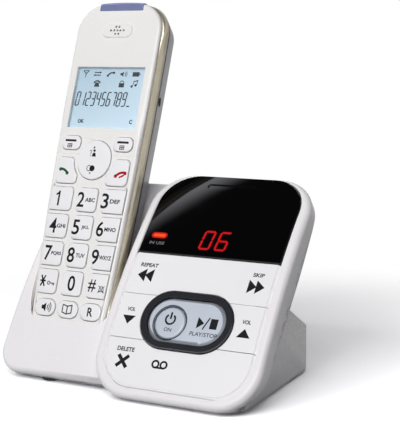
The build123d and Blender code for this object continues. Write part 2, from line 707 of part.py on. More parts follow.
def play_stop_key():
    width = OVAL_WIDTH - 2 * OVAL_BAND - 2 * KEY_GAP
    height = OVAL_HEIGHT - 2 * OVAL_BAND - 2 * KEY_GAP
    cap = oval_prism(width, height, -KEY_CAP, OVAL_KEY_PROUD)
    cap = chamfer(cap.faces().sort_by(Axis.Z)[-1].edges(), OVAL_KEY_BEVEL)
    cap -= answer_hole(ANSWER_KEY_GAP)
    for pin in plungers("play_stop_key"):
        cap += pin
    return cap


def answer_on_key():
    plane = panel_plane(FIELD_X + ANSWER_KEY_X, OVAL_STATION, 0) * Pos(0, -ANSWER_KEY_DROP, 0)
    cap = plane * Pos(0, 0, -KEY_CAP) * Cylinder(ANSWER_KEY_RADIUS, KEY_CAP + OVAL_KEY_PROUD,
                                                 align=LOW_ALIGNED)
    cap = chamfer(cap.faces().sort_by(Axis.Z)[-1].edges(), 0.6)
    for pin in plungers("answer_on_key"):
        cap += pin
    return cap


def display_window():
    grow = KEY_GAP - FIT_GAP
    plate = sector(ROW_3_TOP, WINDOW_TOP + grow, 0, WINDOW_THICK,
                   FIELD_LEFT - grow, FIELD_RIGHT + grow)
    plate = round_corners(plate, [(x, True, WINDOW_CORNER + grow)
                                  for x in (FIELD_LEFT - grow, FIELD_RIGHT + grow)])
    plate = chamfer(face_edges(plate, 0), WINDOW_BEVEL)
    slot = panel_plane(FIELD_LEFT + SLOT_X, SLOT_STATION, 0)
    return plate - slot * extrude(stadium(SLOT_WIDTH, SLOT_HEIGHT), SLOT_DEPTH, both=True)


def window_frame(x, t):
    """Tangent plane just behind the window, at a place on the field."""
    return panel_plane(FIELD_LEFT + x, t, WINDOW_THICK + 2 * FIT_GAP)


def led_display_module():
    plane = window_frame(LED_DIGITS_X, LED_DIGITS_STATION)
    body = plane * Box(LED_MODULE_WIDTH, LED_MODULE_HEIGHT, LED_MODULE_DEPTH, align=TOP_ALIGNED)
    for x in range(-2, 3):
        for y in (-1, 1):
            leg = plane * Pos(x * 2.54, y * LED_MODULE_HEIGHT * 0.4, 0.5 - LED_MODULE_DEPTH)
            body += leg * Box(0.5, 0.3, 1.4, align=TOP_ALIGNED)
    return body


def in_use_light_pipe():
    plane = window_frame(IN_USE_X, IN_USE_STATION)
    pipe = extrude(stadium(IN_USE_WIDTH, IN_USE_HEIGHT), -LED_MODULE_DEPTH + 1)
    flange = Pos(0, 0, WINDOW_THICK + 2 * FIT_GAP - DECK_BACK - FIT_GAP)
    flange = flange * extrude(stadium(IN_USE_WIDTH + 2, IN_USE_HEIGHT + 2), -0.8)
    return plane * (pipe + flange)


def board_posts():
    """(x, station) of the posts that carry the key board under the deck."""
    left, right = BOARD_LEFT + 3, BOARD_RIGHT - 3
    low, high = BOARD_STATION - 9, BOARD_STATION + 12
    return [(left, low), (left, high), (FIELD_X, low - 5), (FIELD_X, high + 7), (right, high - 13.4)]


def board_post(x, t, radius, tip):
    """Stepped post; tip is how far it passes the face of the key mat."""
    stop = board_plane() * Pos(0, 0, -FAR / 2 - tip) * Box(FAR, FAR, FAR)
    post = key_plane(x, t) * Pos(0, 0, -DECK_DEPTH - 0.5) * Cylinder(radius, 12, align=TOP_ALIGNED)
    return post - stop


def board_slab(front, back):
    """Rectangle of the key board between two depths behind the mat's face."""
    middle = (BOARD_LEFT + BOARD_RIGHT) / 2 - FIELD_X
    slab_box = Box(BOARD_RIGHT - BOARD_LEFT, BOARD_HEIGHT, back - front, align=TOP_ALIGNED)
    slab_box = board_plane() * Pos(middle, 0, -front) * slab_box
    corner = board_plane() * Pos(BOARD_RIGHT - FIELD_X, 0, 0)
    for end, tall in ((1, BOARD_NOTCH_TOP), (-1, BOARD_NOTCH_FOOT)):
        slab_box -= corner * Pos(0, end * BOARD_HEIGHT / 2, 0) * Box(2 * BOARD_NOTCH, 2 * tall, 20)
    return slab_box


def base_key_mat():
    mat = board_slab(0, KEY_MAT)
    for x, t in board_posts():
        mat -= key_plane(x, t) * Cylinder(POST_RADIUS + 0.4, 40)
    for places in plunger_places().values():
        for x, t, radius in places:
            dome = key_plane(x, t) * Cylinder(radius + 1.6, 40)
            floor = board_plane() * Pos(0, 0, -KEY_MAT + 0.5) * Box(FAR, FAR, KEY_MAT,
                                                                   align=TOP_ALIGNED)
            mat -= dome & floor
    return mat


def base_key_pcb():
    return board_slab(KEY_MAT + FIT_GAP / 2, KEY_MAT + FIT_GAP / 2 + BOARD_PLATE)


def base_main_pcb():
    left, right = -BODY_LEFT + 10, BODY_RIGHT - 10
    plate = block(left, right, MAIN_BOARD_FRONT, BASE_REAR_Y - WALL - 0.5,
                  MAIN_BOARD_Z, MAIN_BOARD_Z + BOARD_PLATE)
    top = MAIN_BOARD_Z + BOARD_PLATE
    chips = [(-40, 64, 12, 12, 1.6), (18, 62, 14, 14, 1.8), (34, 70, 8, 6, 3.0)]
    for x, y, wide, deep, tall in chips:
        plate += block(x - wide / 2, x + wide / 2, y - deep / 2, y + deep / 2, top, top + tall)
    for x, y, radius in [(-6, 60, 4.0), (-50, 75, 3.2)]:
        plate += Pos(x, y, top) * Cylinder(radius, 11, align=LOW_ALIGNED)
    return plate


def base_speaker():
    """Speaker that faces the slots in the floor: basket below, magnet on top."""
    low = FOOT_HEIGHT + WALL + 0.2
    basket = Pos(SPEAKER_X, SPEAKER_Y, low) * Cylinder(SPEAKER_RADIUS, 3, align=LOW_ALIGNED)
    basket -= Pos(SPEAKER_X, SPEAKER_Y, low) * Cone(SPEAKER_RADIUS - 2, 6, 2.4, align=LOW_ALIGNED)
    magnet = Cylinder(SPEAKER_RADIUS * 0.6, SPEAKER_HEIGHT - 2.5, align=LOW_ALIGNED)
    return basket + Pos(SPEAKER_X, SPEAKER_Y, low + 2.5) * magnet


def jack_body(x, width, low, high, depth):
    """Socket block on the main board, its mouth just inside the rear wall."""
    face = BASE_REAR_Y - WALL - FIT_GAP
    return block(x - width / 2, x + width / 2, face - depth, face, low, high)


def line_jack():
    low, high = JACK_Z - LINE_JACK_HEIGHT / 2, JACK_Z + LINE_JACK_HEIGHT / 2
    body = jack_body(LINE_JACK_X, LINE_JACK_WIDTH + 3, MAIN_BOARD_Z + BOARD_PLATE + FIT_GAP,
                     high + 1.6, 12)
    rear = BASE_REAR_Y - WALL
    body -= block(LINE_JACK_X - LINE_JACK_WIDTH / 2, LINE_JACK_X + LINE_JACK_WIDTH / 2,
                  rear - 10.5, rear, low, high)
    for i in range(4):
        wire = LINE_JACK_X + (i - 1.5) * 1.27
        body += block(wire - 0.2, wire + 0.2, rear - 10.6, rear - 8, high - 1.6, high + 0.1)
    return body


def power_jack():
    body = jack_body(POWER_JACK_X, 9.0, MAIN_BOARD_Z + BOARD_PLATE + FIT_GAP, JACK_Z + 4.5, 12)
    rear = BASE_REAR_Y - WALL - FIT_GAP
    into = Pos(POWER_JACK_X, rear, JACK_Z) * Rot(90, 0, 0)
    body -= into * Cylinder(POWER_BORE, POWER_RECESS, align=LOW_ALIGNED)
    body -= into * Cylinder(POWER_BORE - 0.3, POWER_DEPTH, align=LOW_ALIGNED)
    pin = into * Pos(0, 0, POWER_RECESS + 0.3) * Cylinder(
        POWER_PIN, POWER_DEPTH - POWER_RECESS, align=LOW_ALIGNED)
    return body + pin


def base_charge_contacts():
    """Two leaf springs that rise through the pocket's floor."""
    leaves = []
    top = HANDSET_BOTTOM + REAR_INSET - CONTACT_PROUD - FIT_GAP
    for x in (-CONTACT_X, CONTACT_X):
        leaf = Box(CONTACT_WIDTH, 7.6, 3.4, align=TOP_ALIGNED)
        rounded = fillet(leaf.edges().filter_by(Axis.X).sort_by(Axis.Z)[-2:], 1.6)
        leaves.append(SEAT * Pos(x, HANDSET_THICK / 2, top) * rounded)
    return group(leaves)


def rubber_feet():
    pads = []
    for x, y in foot_places():
        pad = Pos(x, y, 0) * Cylinder(FOOT_RADIUS, FOOT_HEIGHT - 0.02, align=LOW_ALIGNED)
        pads.append(chamfer(pad.faces().sort_by(Axis.Z)[0].edges(), 0.5))
    return group(pads)


def foot_places():
    side = HALF_WIDTH - FOOT_INSET
    return [(x, y) for y in (FOOT_FRONT_Y, FOOT_REAR_Y) for x in (-side, side)]


def base_screws():
    screws = []
    for x, y, _ in screw_places():
        head = Pos(x, y, FOOT_HEIGHT + 0.05) * Cylinder(HEAD_RADIUS, HEAD_HEIGHT, align=LOW_ALIGNED)
        shank = Pos(x, y, FOOT_HEIGHT + 1) * Cylinder(SCREW_RADIUS - FIT_GAP, 9, align=LOW_ALIGNED)
        slot = Pos(x, y, FOOT_HEIGHT) * (Box(3, 0.7, 1) + Box(0.7, 3, 1))
        screws.append(head + shank - slot)
    return group(screws)


# ---------------------------------------------------------------- handset, own frame
def slab(sketch, y0, y1, taper=0.0):
    """Extrude a sketch drawn in the face plane between two depths."""
    frame = Plane(origin=(0, y1, 0), x_dir=(1, 0, 0), z_dir=(0, -1, 0))
    return frame * extrude(sketch, y1 - y0, taper=taper)


def handset_outline(inset):
    """Outline seen from the front: crowned top, sides that draw in towards the foot."""
    half, low = HANDSET_HALF_TOP - inset, HANDSET_HALF_BOTTOM - inset
    crown, foot = HANDSET_TOP - inset, HANDSET_BOTTOM + inset
    shoulder = crown - HANDSET_CROWN
    mid = ((3 * half + low) / 4, (HANDSET_SHOULDER + foot) / 2)
    edges = [
        Line((-low, foot), (low, foot)),
        ThreePointArc((low, foot), mid, (half, HANDSET_SHOULDER)),
        Line((half, HANDSET_SHOULDER), (half, shoulder)),
        ThreePointArc((half, shoulder), (0, crown), (-half, shoulder)),
        Line((-half, shoulder), (-half, HANDSET_SHOULDER)),
        ThreePointArc((-half, HANDSET_SHOULDER), (-mid[0], mid[1]), (-low, foot)),
    ]
    outline = Sketch() + Face(Wire(edges))
    corners = outline.vertices().sort_by(Axis.Y)
    outline = fillet(corners[-2:], HANDSET_TOP_CORNER - inset)
    corners = outline.vertices().sort_by(Axis.Y)
    return fillet(corners[:2], HANDSET_LOW_CORNER - inset)


def lean_in(depth):
    """How far the side of the rear shell has drawn in at a depth behind the face."""
    return (depth - REAR_FRONT) * tan(radians(REAR_TAPER))


def rear_block(inset, back):
    """Outline block behind the joint: its sides lean in, and more so near its back."""
    turn = REAR_ROUND - ROUND_LOSS * (inset - REAR_INSET)
    steps = [(back - REAR_FRONT - turn, REAR_TAPER)]
    steps += [(share * turn, taper) for share, taper in REAR_STEPS]
    frame = Plane(origin=(0, REAR_FRONT, 0), x_dir=(-1, 0, 0), z_dir=(0, 1, 0))
    face = (frame * handset_outline(inset)).faces()[0]
    solid = Part()
    for rise, taper in steps:
        layer = extrude(face, rise, dir=(0, 1, 0), taper=taper)
        face = layer.faces().sort_by(Axis.Y)[-1]
        solid += layer
    return solid


def rear_cutter(inset, back):
    """The same block, carried on to the face."""
    return rear_block(inset, back) + slab(handset_outline(inset), 0, REAR_FRONT)


def lamp_zone(grow):
    """Space of the ring lamp's lens in the top of the handset."""
    return block(-LAMP_HALF - grow, LAMP_HALF + grow, -1, LAMP_DEPTH + grow,
                 LAMP_BOTTOM - grow, HANDSET_TOP + 1)


def rounded(width, height, corner):
    return RectangleRounded(width, height, corner)


def call_key_outline(side):
    """Call key beside the navigation key, hollowed out to run round it."""
    plate = Pos((CALL_OUTER + CALL_INNER) / 2, (CALL_TOP + CALL_BOTTOM) / 2)
    plate = plate * Rectangle(CALL_OUTER - CALL_INNER, CALL_TOP - CALL_BOTTOM)
    sharp = plate - Pos(0, NAV_ROW) * Circle(NAV_HEIGHT / 2 + CALL_NAV_GAP)
    outline = offset(offset(sharp, -CALL_CORNER), CALL_CORNER)
    return outline if side > 0 else mirror(outline, Plane.YZ)


def digit_outline(side, z):
    """Digit key. The outer side of the outer columns runs along the edge of the face."""
    if side == 0:
        return Pos(0, z) * rounded(DIGIT_WIDTH, DIGIT_HEIGHT, DIGIT_CORNER)
    x = side * (DIGIT_INNER + HANDSET_HALF_TOP / 2)
    plate = Pos(x, z) * rounded(HANDSET_HALF_TOP, DIGIT_HEIGHT, DIGIT_CORNER)
    return plate & handset_outline(KEY_RIM)


def key_outlines():
    """Outline of every handset key in the face plane."""
    outlines = {
        "left_softkey": Pos(-SOFT_X, SOFT_ROW) * rounded(SOFT_WIDTH, SOFT_HEIGHT, SOFT_CORNER),
        "right_softkey": Pos(SOFT_X, SOFT_ROW) * rounded(SOFT_WIDTH, SOFT_HEIGHT, SOFT_CORNER),
        "navigation_rocker": Pos(0, NAV_ROW) * rounded(NAV_WIDTH, NAV_HEIGHT, NAV_CORNER),
        "talk_key": call_key_outline(-1),
        "end_key": call_key_outline(1),
    }
    digits = ["key_1", "key_2", "key_3", "key_4", "key_5", "key_6",
              "key_7", "key_8", "key_9", "key_star", "key_0", "key_hash"]
    for i, node in enumerate(digits):
        outlines[node] = digit_outline(i % 3 - 1, DIGIT_ROW_0 - (i // 3) * ROW_PITCH)
    for i, node in enumerate(["loudspeaker_key", "phonebook_key", "recall_key"]):
        plate = rounded(ROUND_KEY_WIDTH, ROUND_KEY_HEIGHT, ROUND_KEY_CORNER)
        outlines[node] = Pos((i - 1) * ROUND_KEY_PITCH, ROUND_KEY_ROW) * plate
    return outlines


def handset_key(outline):
    """Key cap that stands through the face."""
    cap = slab(outline, -CAP_PROUD, CAP_BACK)
    return chamfer(cap.faces().sort_by(Axis.Y)[0].edges(), CAP_EDGE)


def navigation_pivot():
    """Round ridge behind the navigation key, which it tips about."""
    return Pos(0, CAP_BACK, NAV_ROW) * Rot(0, 90, 0) * Cylinder(PIVOT_RADIUS, NAV_WIDTH / 2)


def key_aperture(outline):
    return slab(offset(outline, CAP_GAP), -1, FACE_SKIN + 1)


def screw_columns():
    """Places of the two handset screws, between the key columns."""
    return [(-COLUMN_PITCH / 2, HANDSET_SCREW_ROW), (COLUMN_PITCH / 2, HANDSET_SCREW_ROW)]


def tube(x, z, radius, y0, y1):
    """Round bar along the depth of the handset."""
    return Pos(x, y0, z) * Rot(-90, 0, 0) * Cylinder(radius, y1 - y0, align=LOW_ALIGNED)


def handset_front_shell(outlines):
    plate = slab(handset_outline(FACE_INSET), 0, BAND_FRONT - FIT_GAP / 2)
    plate = fillet(plate.faces().sort_by(Axis.Y)[0].edges(), FACE_EDGE)
    shell = plate + slab(handset_outline(SKIRT_INSET), 1, REAR_FRONT - 0.2)
    shell -= slab(handset_outline(SKIRT_INSET + SKIRT_WALL), FACE_SKIN, REAR_FRONT + 1)
    pill = Pos(0, EAR_HEIGHT) * stadium(EAR_WIDTH, EAR_TALL)
    pill = slab(pill, -EAR_PROUD, 1)
    shell += chamfer(pill.faces().sort_by(Axis.Y)[0].edges(), EAR_PROUD * 0.7)
    shell -= Pos(0, 0, LCD_HEIGHT / 2) * Box(LCD_WIDTH, 3 * FACE_SKIN, LCD_HEIGHT)
    for outline in outlines.values():
        shell -= key_aperture(outline)
    for row, count in ((1, 2), (0, 5), (-1, 2)):
        for i in range(count):
            x = (i - (count - 1) / 2) * EAR_PITCH
            shell -= tube(x, EAR_HEIGHT + row * EAR_PITCH, EAR_HOLE, -2, 3)
    shell -= Pos(0, 0, MIC_ROW) * Box(4.5, 6, 0.8)
    shell -= Pos(0, 0, FACE_LINE) * Box(FAR, 2 * FACE_LINE_DEPTH, FACE_LINE_WIDTH)
    for x, z in screw_columns():
        shell += tube(x, z, 1.6, FACE_SKIN - 0.5, MAT_FRONT + MAT_THICK)
        shell += tube(x, z, 2.3, MAT_FRONT, SCREW_TUBE_FRONT - FIT_GAP)
        shell -= tube(x, z, SMALL_SCREW, 1.2, SCREW_TUBE_FRONT)
    return shell - lamp_zone(FIT_GAP)


def handset_side_band():
    flare = BAND_BACK - BAND_FRONT
    taper = atan2(BAND_FLARE, flare)
    band = slab(handset_outline(0), BAND_FRONT, BAND_BACK, taper=degrees(taper))
    band -= slab(handset_outline(SKIRT_INSET - FIT_GAP), BAND_FRONT - 1, BAND_BACK + 1)
    return band - lamp_zone(FIT_GAP)


def handset_gasket():
    """Dark spacer ring that sets the side band off from the rear shell."""
    front, back = BAND_BACK + FIT_GAP / 2, REAR_FRONT - FIT_GAP / 2
    ring = slab(handset_outline(GROOVE_INSET), front, back)
    ring -= slab(handset_outline(SKIRT_INSET - FIT_GAP), front - 1, back + 1)
    return ring - lamp_zone(FIT_GAP)


def door_zone():
    return block(-FAR, FAR, DOOR_FRONT, FAR, DOOR_BOTTOM - DOOR_TRAVEL - 0.4, DOOR_TOP)


def handset_rear_shell():
    core_inset = REAR_INSET + DOOR_THICK + DOOR_GAP
    core_back = HANDSET_THICK - DOOR_THICK - DOOR_GAP
    outer = rear_block(REAR_INSET, HANDSET_THICK)
    outer -= door_zone() - rear_block(core_inset, core_back)
    skin = REAR_SKIN - 0.4
    inner = rear_cutter(core_inset + skin, core_back - skin)
    upper = rear_cutter(REAR_INSET + REAR_SKIN, HANDSET_THICK - REAR_SKIN)
    inner += upper & block(-FAR, FAR, -FAR, FAR, DOOR_TOP + REAR_SKIN, FAR)
    shell = outer - inner
    bay_half, bay_low, bay_high = 2 * CELL_RADIUS + 0.7, BAY_TOP - CELL_LENGTH - 2.4, BAY_TOP
    bay = block(-bay_half - 1.5, bay_half + 1.5, BAY_FRONT - 1.2, core_back,
                bay_low - 1.2, bay_high + 1.2)
    shell += bay & inner
    shell -= block(-bay_half, bay_half, BAY_FRONT, FAR, bay_low, bay_high)
    for x, z in screw_columns():
        shell += tube(x, z, 3.3, SCREW_TUBE_FRONT, core_back) & inner
        shell -= tube(x, z, 2.2, SCREW_TUBE_FRONT + 1.5, HANDSET_THICK)
        shell -= tube(x, z, SMALL_SCREW + 0.2, 0, HANDSET_THICK)
    for i in range(5):
        z = LOUDSPEAKER_HEIGHT + (i - 2) * 2.8
        shell -= Pos(0, HANDSET_THICK, z) * Box(14, 6, 1.2)
    shell -= Pos(HANDSET_HALF_TOP, JACK_DEPTH, JACK_HEIGHT) * Rot(0, 90, 0) * Cylinder(
        JACK_BARREL + FIT_GAP, 8)
    foot_half = CONTACT_X + CONTACT_WIDTH / 2 + 1.2
    foot_back = (HANDSET_THICK + CONTACT_LENGTH) / 2 + 1.2
    foot = HANDSET_BOTTOM + REAR_INSET
    shell += block(-foot_half, foot_half, REAR_FRONT, foot_back, foot, foot + REAR_SKIN)
    for x in (-CONTACT_X, CONTACT_X):
        shell -= Pos(x, HANDSET_THICK / 2, HANDSET_BOTTOM) * Box(
            CONTACT_WIDTH + 0.2, CONTACT_LENGTH + 0.2, 12)
    return shell - lamp_zone(FIT_GAP)


def battery_door():
    outer = rear_block(REAR_INSET, HANDSET_THICK)
    outer -= rear_cutter(REAR_INSET + DOOR_THICK, HANDSET_THICK - DOOR_THICK)
    door = outer & block(-FAR, FAR, DOOR_FRONT + 0.15, FAR, DOOR_BOTTOM, DOOR_TOP - DOOR_GAP)
    for i in range(5):
        z = DOOR_TOP - 12 - 2.4 * i
        door -= Pos(0, HANDSET_THICK, z) * Box(12, 1.0, 1.0)
    return door


def ring_lamp_lens():
    body = slab(handset_outline(FACE_INSET / 2), 0, LAMP_DEPTH)
    body = fillet(body.faces().sort_by(Axis.Y)[0].edges(), FACE_EDGE)
    return body & lamp_zone(0)


def display_lens():
    lens = Box(LCD_WIDTH - 2 * FIT_GAP, LENS_THICK, LCD_HEIGHT - 2 * FIT_GAP)
    return Pos(0, LCD_RECESS + LENS_THICK / 2, LCD_HEIGHT / 2) * lens


def lcd_panel():
    """Glass cell with its driver ledge at the foot."""
    side = LCD_WIDTH / 2 + 1
    front = FACE_SKIN + FIT_GAP
    glass = block(-side, side, front, front + 1.1, -1.5, LCD_HEIGHT + 1.4)
    return glass + block(-side, side, front + 1, MAT_FRONT + MAT_THICK - FIT_GAP, 1.5,
                         LCD_HEIGHT + 1.4)


def board_outline(low, high):
    """Part of the inner outline between two heights."""
    zone = Pos(0, (low + high) / 2) * Rectangle(2 * HANDSET_HALF_TOP, high - low)
    return handset_outline(SKIRT_INSET + SKIRT_WALL + 0.3) & zone


def handset_key_mat():
    mat = slab(board_outline(MIC_ROW + 1.3, -2.8), MAT_FRONT, MAT_FRONT + MAT_THICK - FIT_GAP)
    for x, z in screw_columns():
        mat -= tube(x, z, 2.7, 0, 9)
    return mat


def handset_pcb():
    front = MAT_FRONT + MAT_THICK
    board = slab(board_outline(MIC_ROW + 1.3, LCD_HEIGHT + 4), front, front + BOARD_THICK)
    board += Pos(0, front + BOARD_THICK + 0.8, 18) * Box(14, 1.8, 14)
    for x, z in screw_columns():
        board -= tube(x, z, 2.7, 0, 9)
    return board


def earpiece_speaker():
    ear = tube(0, EAR_HEIGHT, EARPIECE_RADIUS, FACE_SKIN + FIT_GAP, 3.4)
    return ear + tube(0, EAR_HEIGHT, 0.7 * EARPIECE_RADIUS, 3.2, 5.2)


def handset_loudspeaker():
    back = HANDSET_THICK - REAR_SKIN - FIT_GAP
    return tube(0, LOUDSPEAKER_HEIGHT, 12, back - 2, back) + tube(
        0, LOUDSPEAKER_HEIGHT, 8, back - 4.8, back - 1.8)


def handset_microphone():
    return tube(0, MIC_ROW - 2.4, 3.0, FACE_SKIN + FIT_GAP, FACE_SKIN + 2.6)


def battery_cells():
    cells = []
    low = BAY_TOP - 1.2 - CELL_LENGTH
    for side, x in ((1, -CELL_RADIUS - 0.15), (-1, CELL_RADIUS + 0.15)):
        y = BAY_FRONT + CELL_RADIUS + 0.2
        cell = Cylinder(CELL_RADIUS, CELL_LENGTH - 1, align=LOW_ALIGNED)
        cell = chamfer(cell.edges(), 0.5)
        button = Pos(0, 0, CELL_LENGTH - 1.2) * Cylinder(2.6, 1.2, align=LOW_ALIGNED)
        cell += button
        if side < 0:
            cell = Pos(0, 0, CELL_LENGTH) * Rot(180, 0, 0) * cell
        cells.append(Pos(x, y, low) * cell)
    return group(cells)


def battery_contacts():
    plates = []
    y = BAY_FRONT + CELL_RADIUS + 0.2
    for z in (BAY_TOP - 0.55, BAY_TOP - CELL_LENGTH - 1.85):
        plates.append(Pos(0, y, z) * Box(4 * CELL_RADIUS - 2, 7, 0.5))
    return group(plates)


def handset_charge_contacts():
    pads = []
    low = HANDSET_BOTTOM + REAR_INSET - CONTACT_PROUD
    for x in (-CONTACT_X, CONTACT_X):
        pad = Box(CONTACT_WIDTH, CONTACT_LENGTH, 3.2, align=LOW_ALIGNED)
        pads.append(Pos(x, HANDSET_THICK / 2, low) * pad)
    return group(pads)


def headset_socket():
    foot = JACK_DEPTH + JACK_BARREL + 0.4
    inner = HANDSET_HALF_TOP - REAR_INSET - REAR_SKIN - lean_in(foot) - FIT_GAP - 0.3
    mouth = HANDSET_HALF_TOP - REAR_INSET - lean_in(JACK_DEPTH + JACK_BARREL) - 0.2
    board_back = MAT_FRONT + MAT_THICK + BOARD_THICK + FIT_GAP
    low, high = JACK_HEIGHT - 3, JACK_HEIGHT + 3
    body = block(inner - SOCKET_BODY, inner, REAR_FRONT + 0.4, foot, low, high)
    body += block(inner - SOCKET_BODY, inner - 2, board_back, REAR_FRONT + 1, low, high)
    body += side_bar(JACK_BARREL, inner - 1, mouth)
    return body - side_bar(JACK_BORE, mouth - JACK_LENGTH, mouth + 1)


def side_bar(radius, x0, x1):
    """Round bar across the handset, along the headset socket's axis."""
    at = Pos(x0, JACK_DEPTH, JACK_HEIGHT) * Rot(0, 90, 0)
    return at * Cylinder(radius, x1 - x0, align=LOW_ALIGNED)


def handset_screws():
    screws = []
    for x, z in screw_columns():
        seat = SCREW_TUBE_FRONT + 1.5 + FIT_GAP / 2
        head = tube(x, z, 1.9, seat, seat + 1.4)
        head -= Pos(x, seat + 1.4, z) * (Box(2.2, 1.2, 0.5) + Box(0.5, 1.2, 2.2))
        screws.append(head + tube(x, z, SMALL_SCREW - FIT_GAP, 2.0, seat + 0.4))
    return group(screws)


# ---------------------------------------------------------------- assembly
def build():
    """Every piece at its place in the assembly."""
    plate = key_plate()
    base = {
        "base_front_shell": base_front_shell(),
        "base_rear_shell": base_rear_shell(),
        "display_window": display_window(),
        "led_display_module": led_display_module(),
        "in_use_light_pipe": in_use_light_pipe(),
        "play_bezel_ring": play_bezel_ring(),
        "repeat_skip_key": repeat_skip_key(plate),
        "volume_down_key": volume_key("volume_down_key", plate, FIELD_LEFT - 1, FIELD_X),
        "volume_up_key": volume_key("volume_up_key", plate, FIELD_X, FIELD_RIGHT + 1),
        "delete_key": delete_key(plate),
        "play_stop_key": play_stop_key(),
        "answer_on_key": answer_on_key(),
        "base_key_mat": base_key_mat(),
        "base_key_pcb": base_key_pcb(),
        "base_main_pcb": base_main_pcb(),
        "base_speaker": base_speaker(),
        "line_jack": line_jack(),
        "power_jack": power_jack(),
        "base_charge_contacts": base_charge_contacts(),
        "base_screws": base_screws(),
        "rubber_feet": rubber_feet(),
    }
    outlines = key_outlines()
    handset = {
        "handset_front_shell": handset_front_shell(outlines),
        "handset_side_band": handset_side_band(),
        "handset_gasket": handset_gasket(),
        "handset_rear_shell": handset_rear_shell(),
        "battery_door": battery_door(),
        "ring_lamp_lens": ring_lamp_lens(),
        "display_lens": display_lens(),
        "lcd_panel": lcd_panel(),
        "handset_key_mat": handset_key_mat(),
        "handset_pcb": handset_pcb(),
        "earpiece_speaker": earpiece_speaker(),
        "handset_loudspeaker": handset_loudspeaker(),
        "handset_microphone": handset_microphone(),
        "battery_cells": battery_cells(),
        "battery_contacts": battery_contacts(),
        "handset_charge_contacts": handset_charge_contacts(),
        "headset_socket": headset_socket(),
        "handset_screws": handset_screws(),
    }
    for node, outline in outlines.items():
        handset[node] = handset_key(outline)
    handset["navigation_rocker"] += navigation_pivot()
    for node, shape in handset.items():
        base[node] = SEAT * shape
    return base


parts = build()
boxes = [shape.bounding_box() for shape in parts.values()]
front = min(box.min.Y for box in boxes)
back = max(box.max.Y for box in boxes)
to_origin = Pos(0, -(front + back) / 2, 0)
os.makedirs("parts", exist_ok=True)
for node, shape in parts.items():
    export_step(to_origin * shape, "parts/" + node + ".step")
print("nodes", len(parts), "moved back by", (front + back) / 2)
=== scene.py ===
import json
import math

import bmesh
import bpy
import numpy as np
from mathutils import Euler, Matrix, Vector

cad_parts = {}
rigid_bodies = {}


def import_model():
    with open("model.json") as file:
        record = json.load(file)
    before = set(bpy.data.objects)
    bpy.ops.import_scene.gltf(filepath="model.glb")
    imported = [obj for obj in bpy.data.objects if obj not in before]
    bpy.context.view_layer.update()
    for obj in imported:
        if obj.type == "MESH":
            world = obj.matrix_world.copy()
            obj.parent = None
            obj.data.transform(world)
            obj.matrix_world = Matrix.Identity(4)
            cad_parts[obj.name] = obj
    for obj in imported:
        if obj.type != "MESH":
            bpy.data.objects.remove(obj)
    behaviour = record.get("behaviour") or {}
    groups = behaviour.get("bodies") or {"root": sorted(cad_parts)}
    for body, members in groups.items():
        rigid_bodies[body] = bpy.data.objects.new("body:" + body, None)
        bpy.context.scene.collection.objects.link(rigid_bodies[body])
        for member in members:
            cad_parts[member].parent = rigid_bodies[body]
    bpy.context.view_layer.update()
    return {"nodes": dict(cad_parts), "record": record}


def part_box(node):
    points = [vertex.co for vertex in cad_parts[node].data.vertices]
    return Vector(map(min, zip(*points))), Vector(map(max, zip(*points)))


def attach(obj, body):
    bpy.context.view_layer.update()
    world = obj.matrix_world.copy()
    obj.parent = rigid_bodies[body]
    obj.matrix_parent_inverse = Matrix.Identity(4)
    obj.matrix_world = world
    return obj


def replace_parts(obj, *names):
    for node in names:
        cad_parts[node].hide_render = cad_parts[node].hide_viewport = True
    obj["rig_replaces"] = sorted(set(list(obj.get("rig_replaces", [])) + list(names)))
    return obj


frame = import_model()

# Telephone answering machine and its cordless handset: mouldings, print, display and studio.
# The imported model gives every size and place. Lengths inside the functions are millimetres,
# and they become metres where a mesh is written.

bl_info = {
    "name": "Answering machine",
    "version": (1, 0, 0),
    "blender": (4, 5, 0),
    "location": "3D View > Sidebar > Answering machine",
    "description": "Builds the finished look of a desk answering machine round its packed parts",
    "category": "Add Mesh",
}

BODIES = frame["record"]["behaviour"]["bodies"]
BODY_OF = {node: body for body, nodes in BODIES.items() for node in nodes}
SLOT_OF = {row["node"]: row["material_slot"] for row in frame["record"]["subparts"]}
MM = 0.001

# the key panel is an arc about a level axis; t is measured up along it from the key field's foot
PANEL_RADIUS = 311.5
PANEL_SLOPE = math.radians(61.15)
FIELD_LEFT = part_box("repeat_skip_key")[0][0] / MM
SOCKET_BACK = 82.2          # rear face of the line socket, behind the field's foot
PANEL_FOOT_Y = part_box("line_jack")[1][1] / MM - SOCKET_BACK
PANEL_FOOT_Z = 7.2
AXIS_Y = PANEL_FOOT_Y + PANEL_RADIUS * math.sin(PANEL_SLOPE)
AXIS_Z = PANEL_FOOT_Z - PANEL_RADIUS * math.cos(PANEL_SLOPE)
OVAL_CENTRE = (34.8, 31.2)
OVAL_KEY_PROUD = 0.5

# the handset's face is a plane that leans back; x is across it, z up it from the display's foot
LEAN = math.radians(19.8)
DISPLAY = np.array(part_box("display_lens")) / MM
HANDSET_X = DISPLAY[:, 0].mean()
KEY_PROUD = 0.8
BAND_DEPTHS = (2.2, 6.6)
BAND_BEND = (0.9, -0.7)     # how far its shading leans at the front and at the back
DARK_EDGE_DEPTHS = (8.6, 9.4)    # the near-black band on the back's front edge ends between these depths
LENS_DEPTH, LENS_THICK, LENS_CLEAR = 0.6, 1.1, 0.1
LCD_DEPTH = 1.9

# print starts a little inside the plastic and stands a little proud of it
PRINT_LOW, PRINT_HIGH = -0.04, 0.02
HAZE_HIGH, CORE_HIGH = 0.008, 0.04
WORD_WEIGHT = 0.03          # how much thicker than the plain letters the printed words are

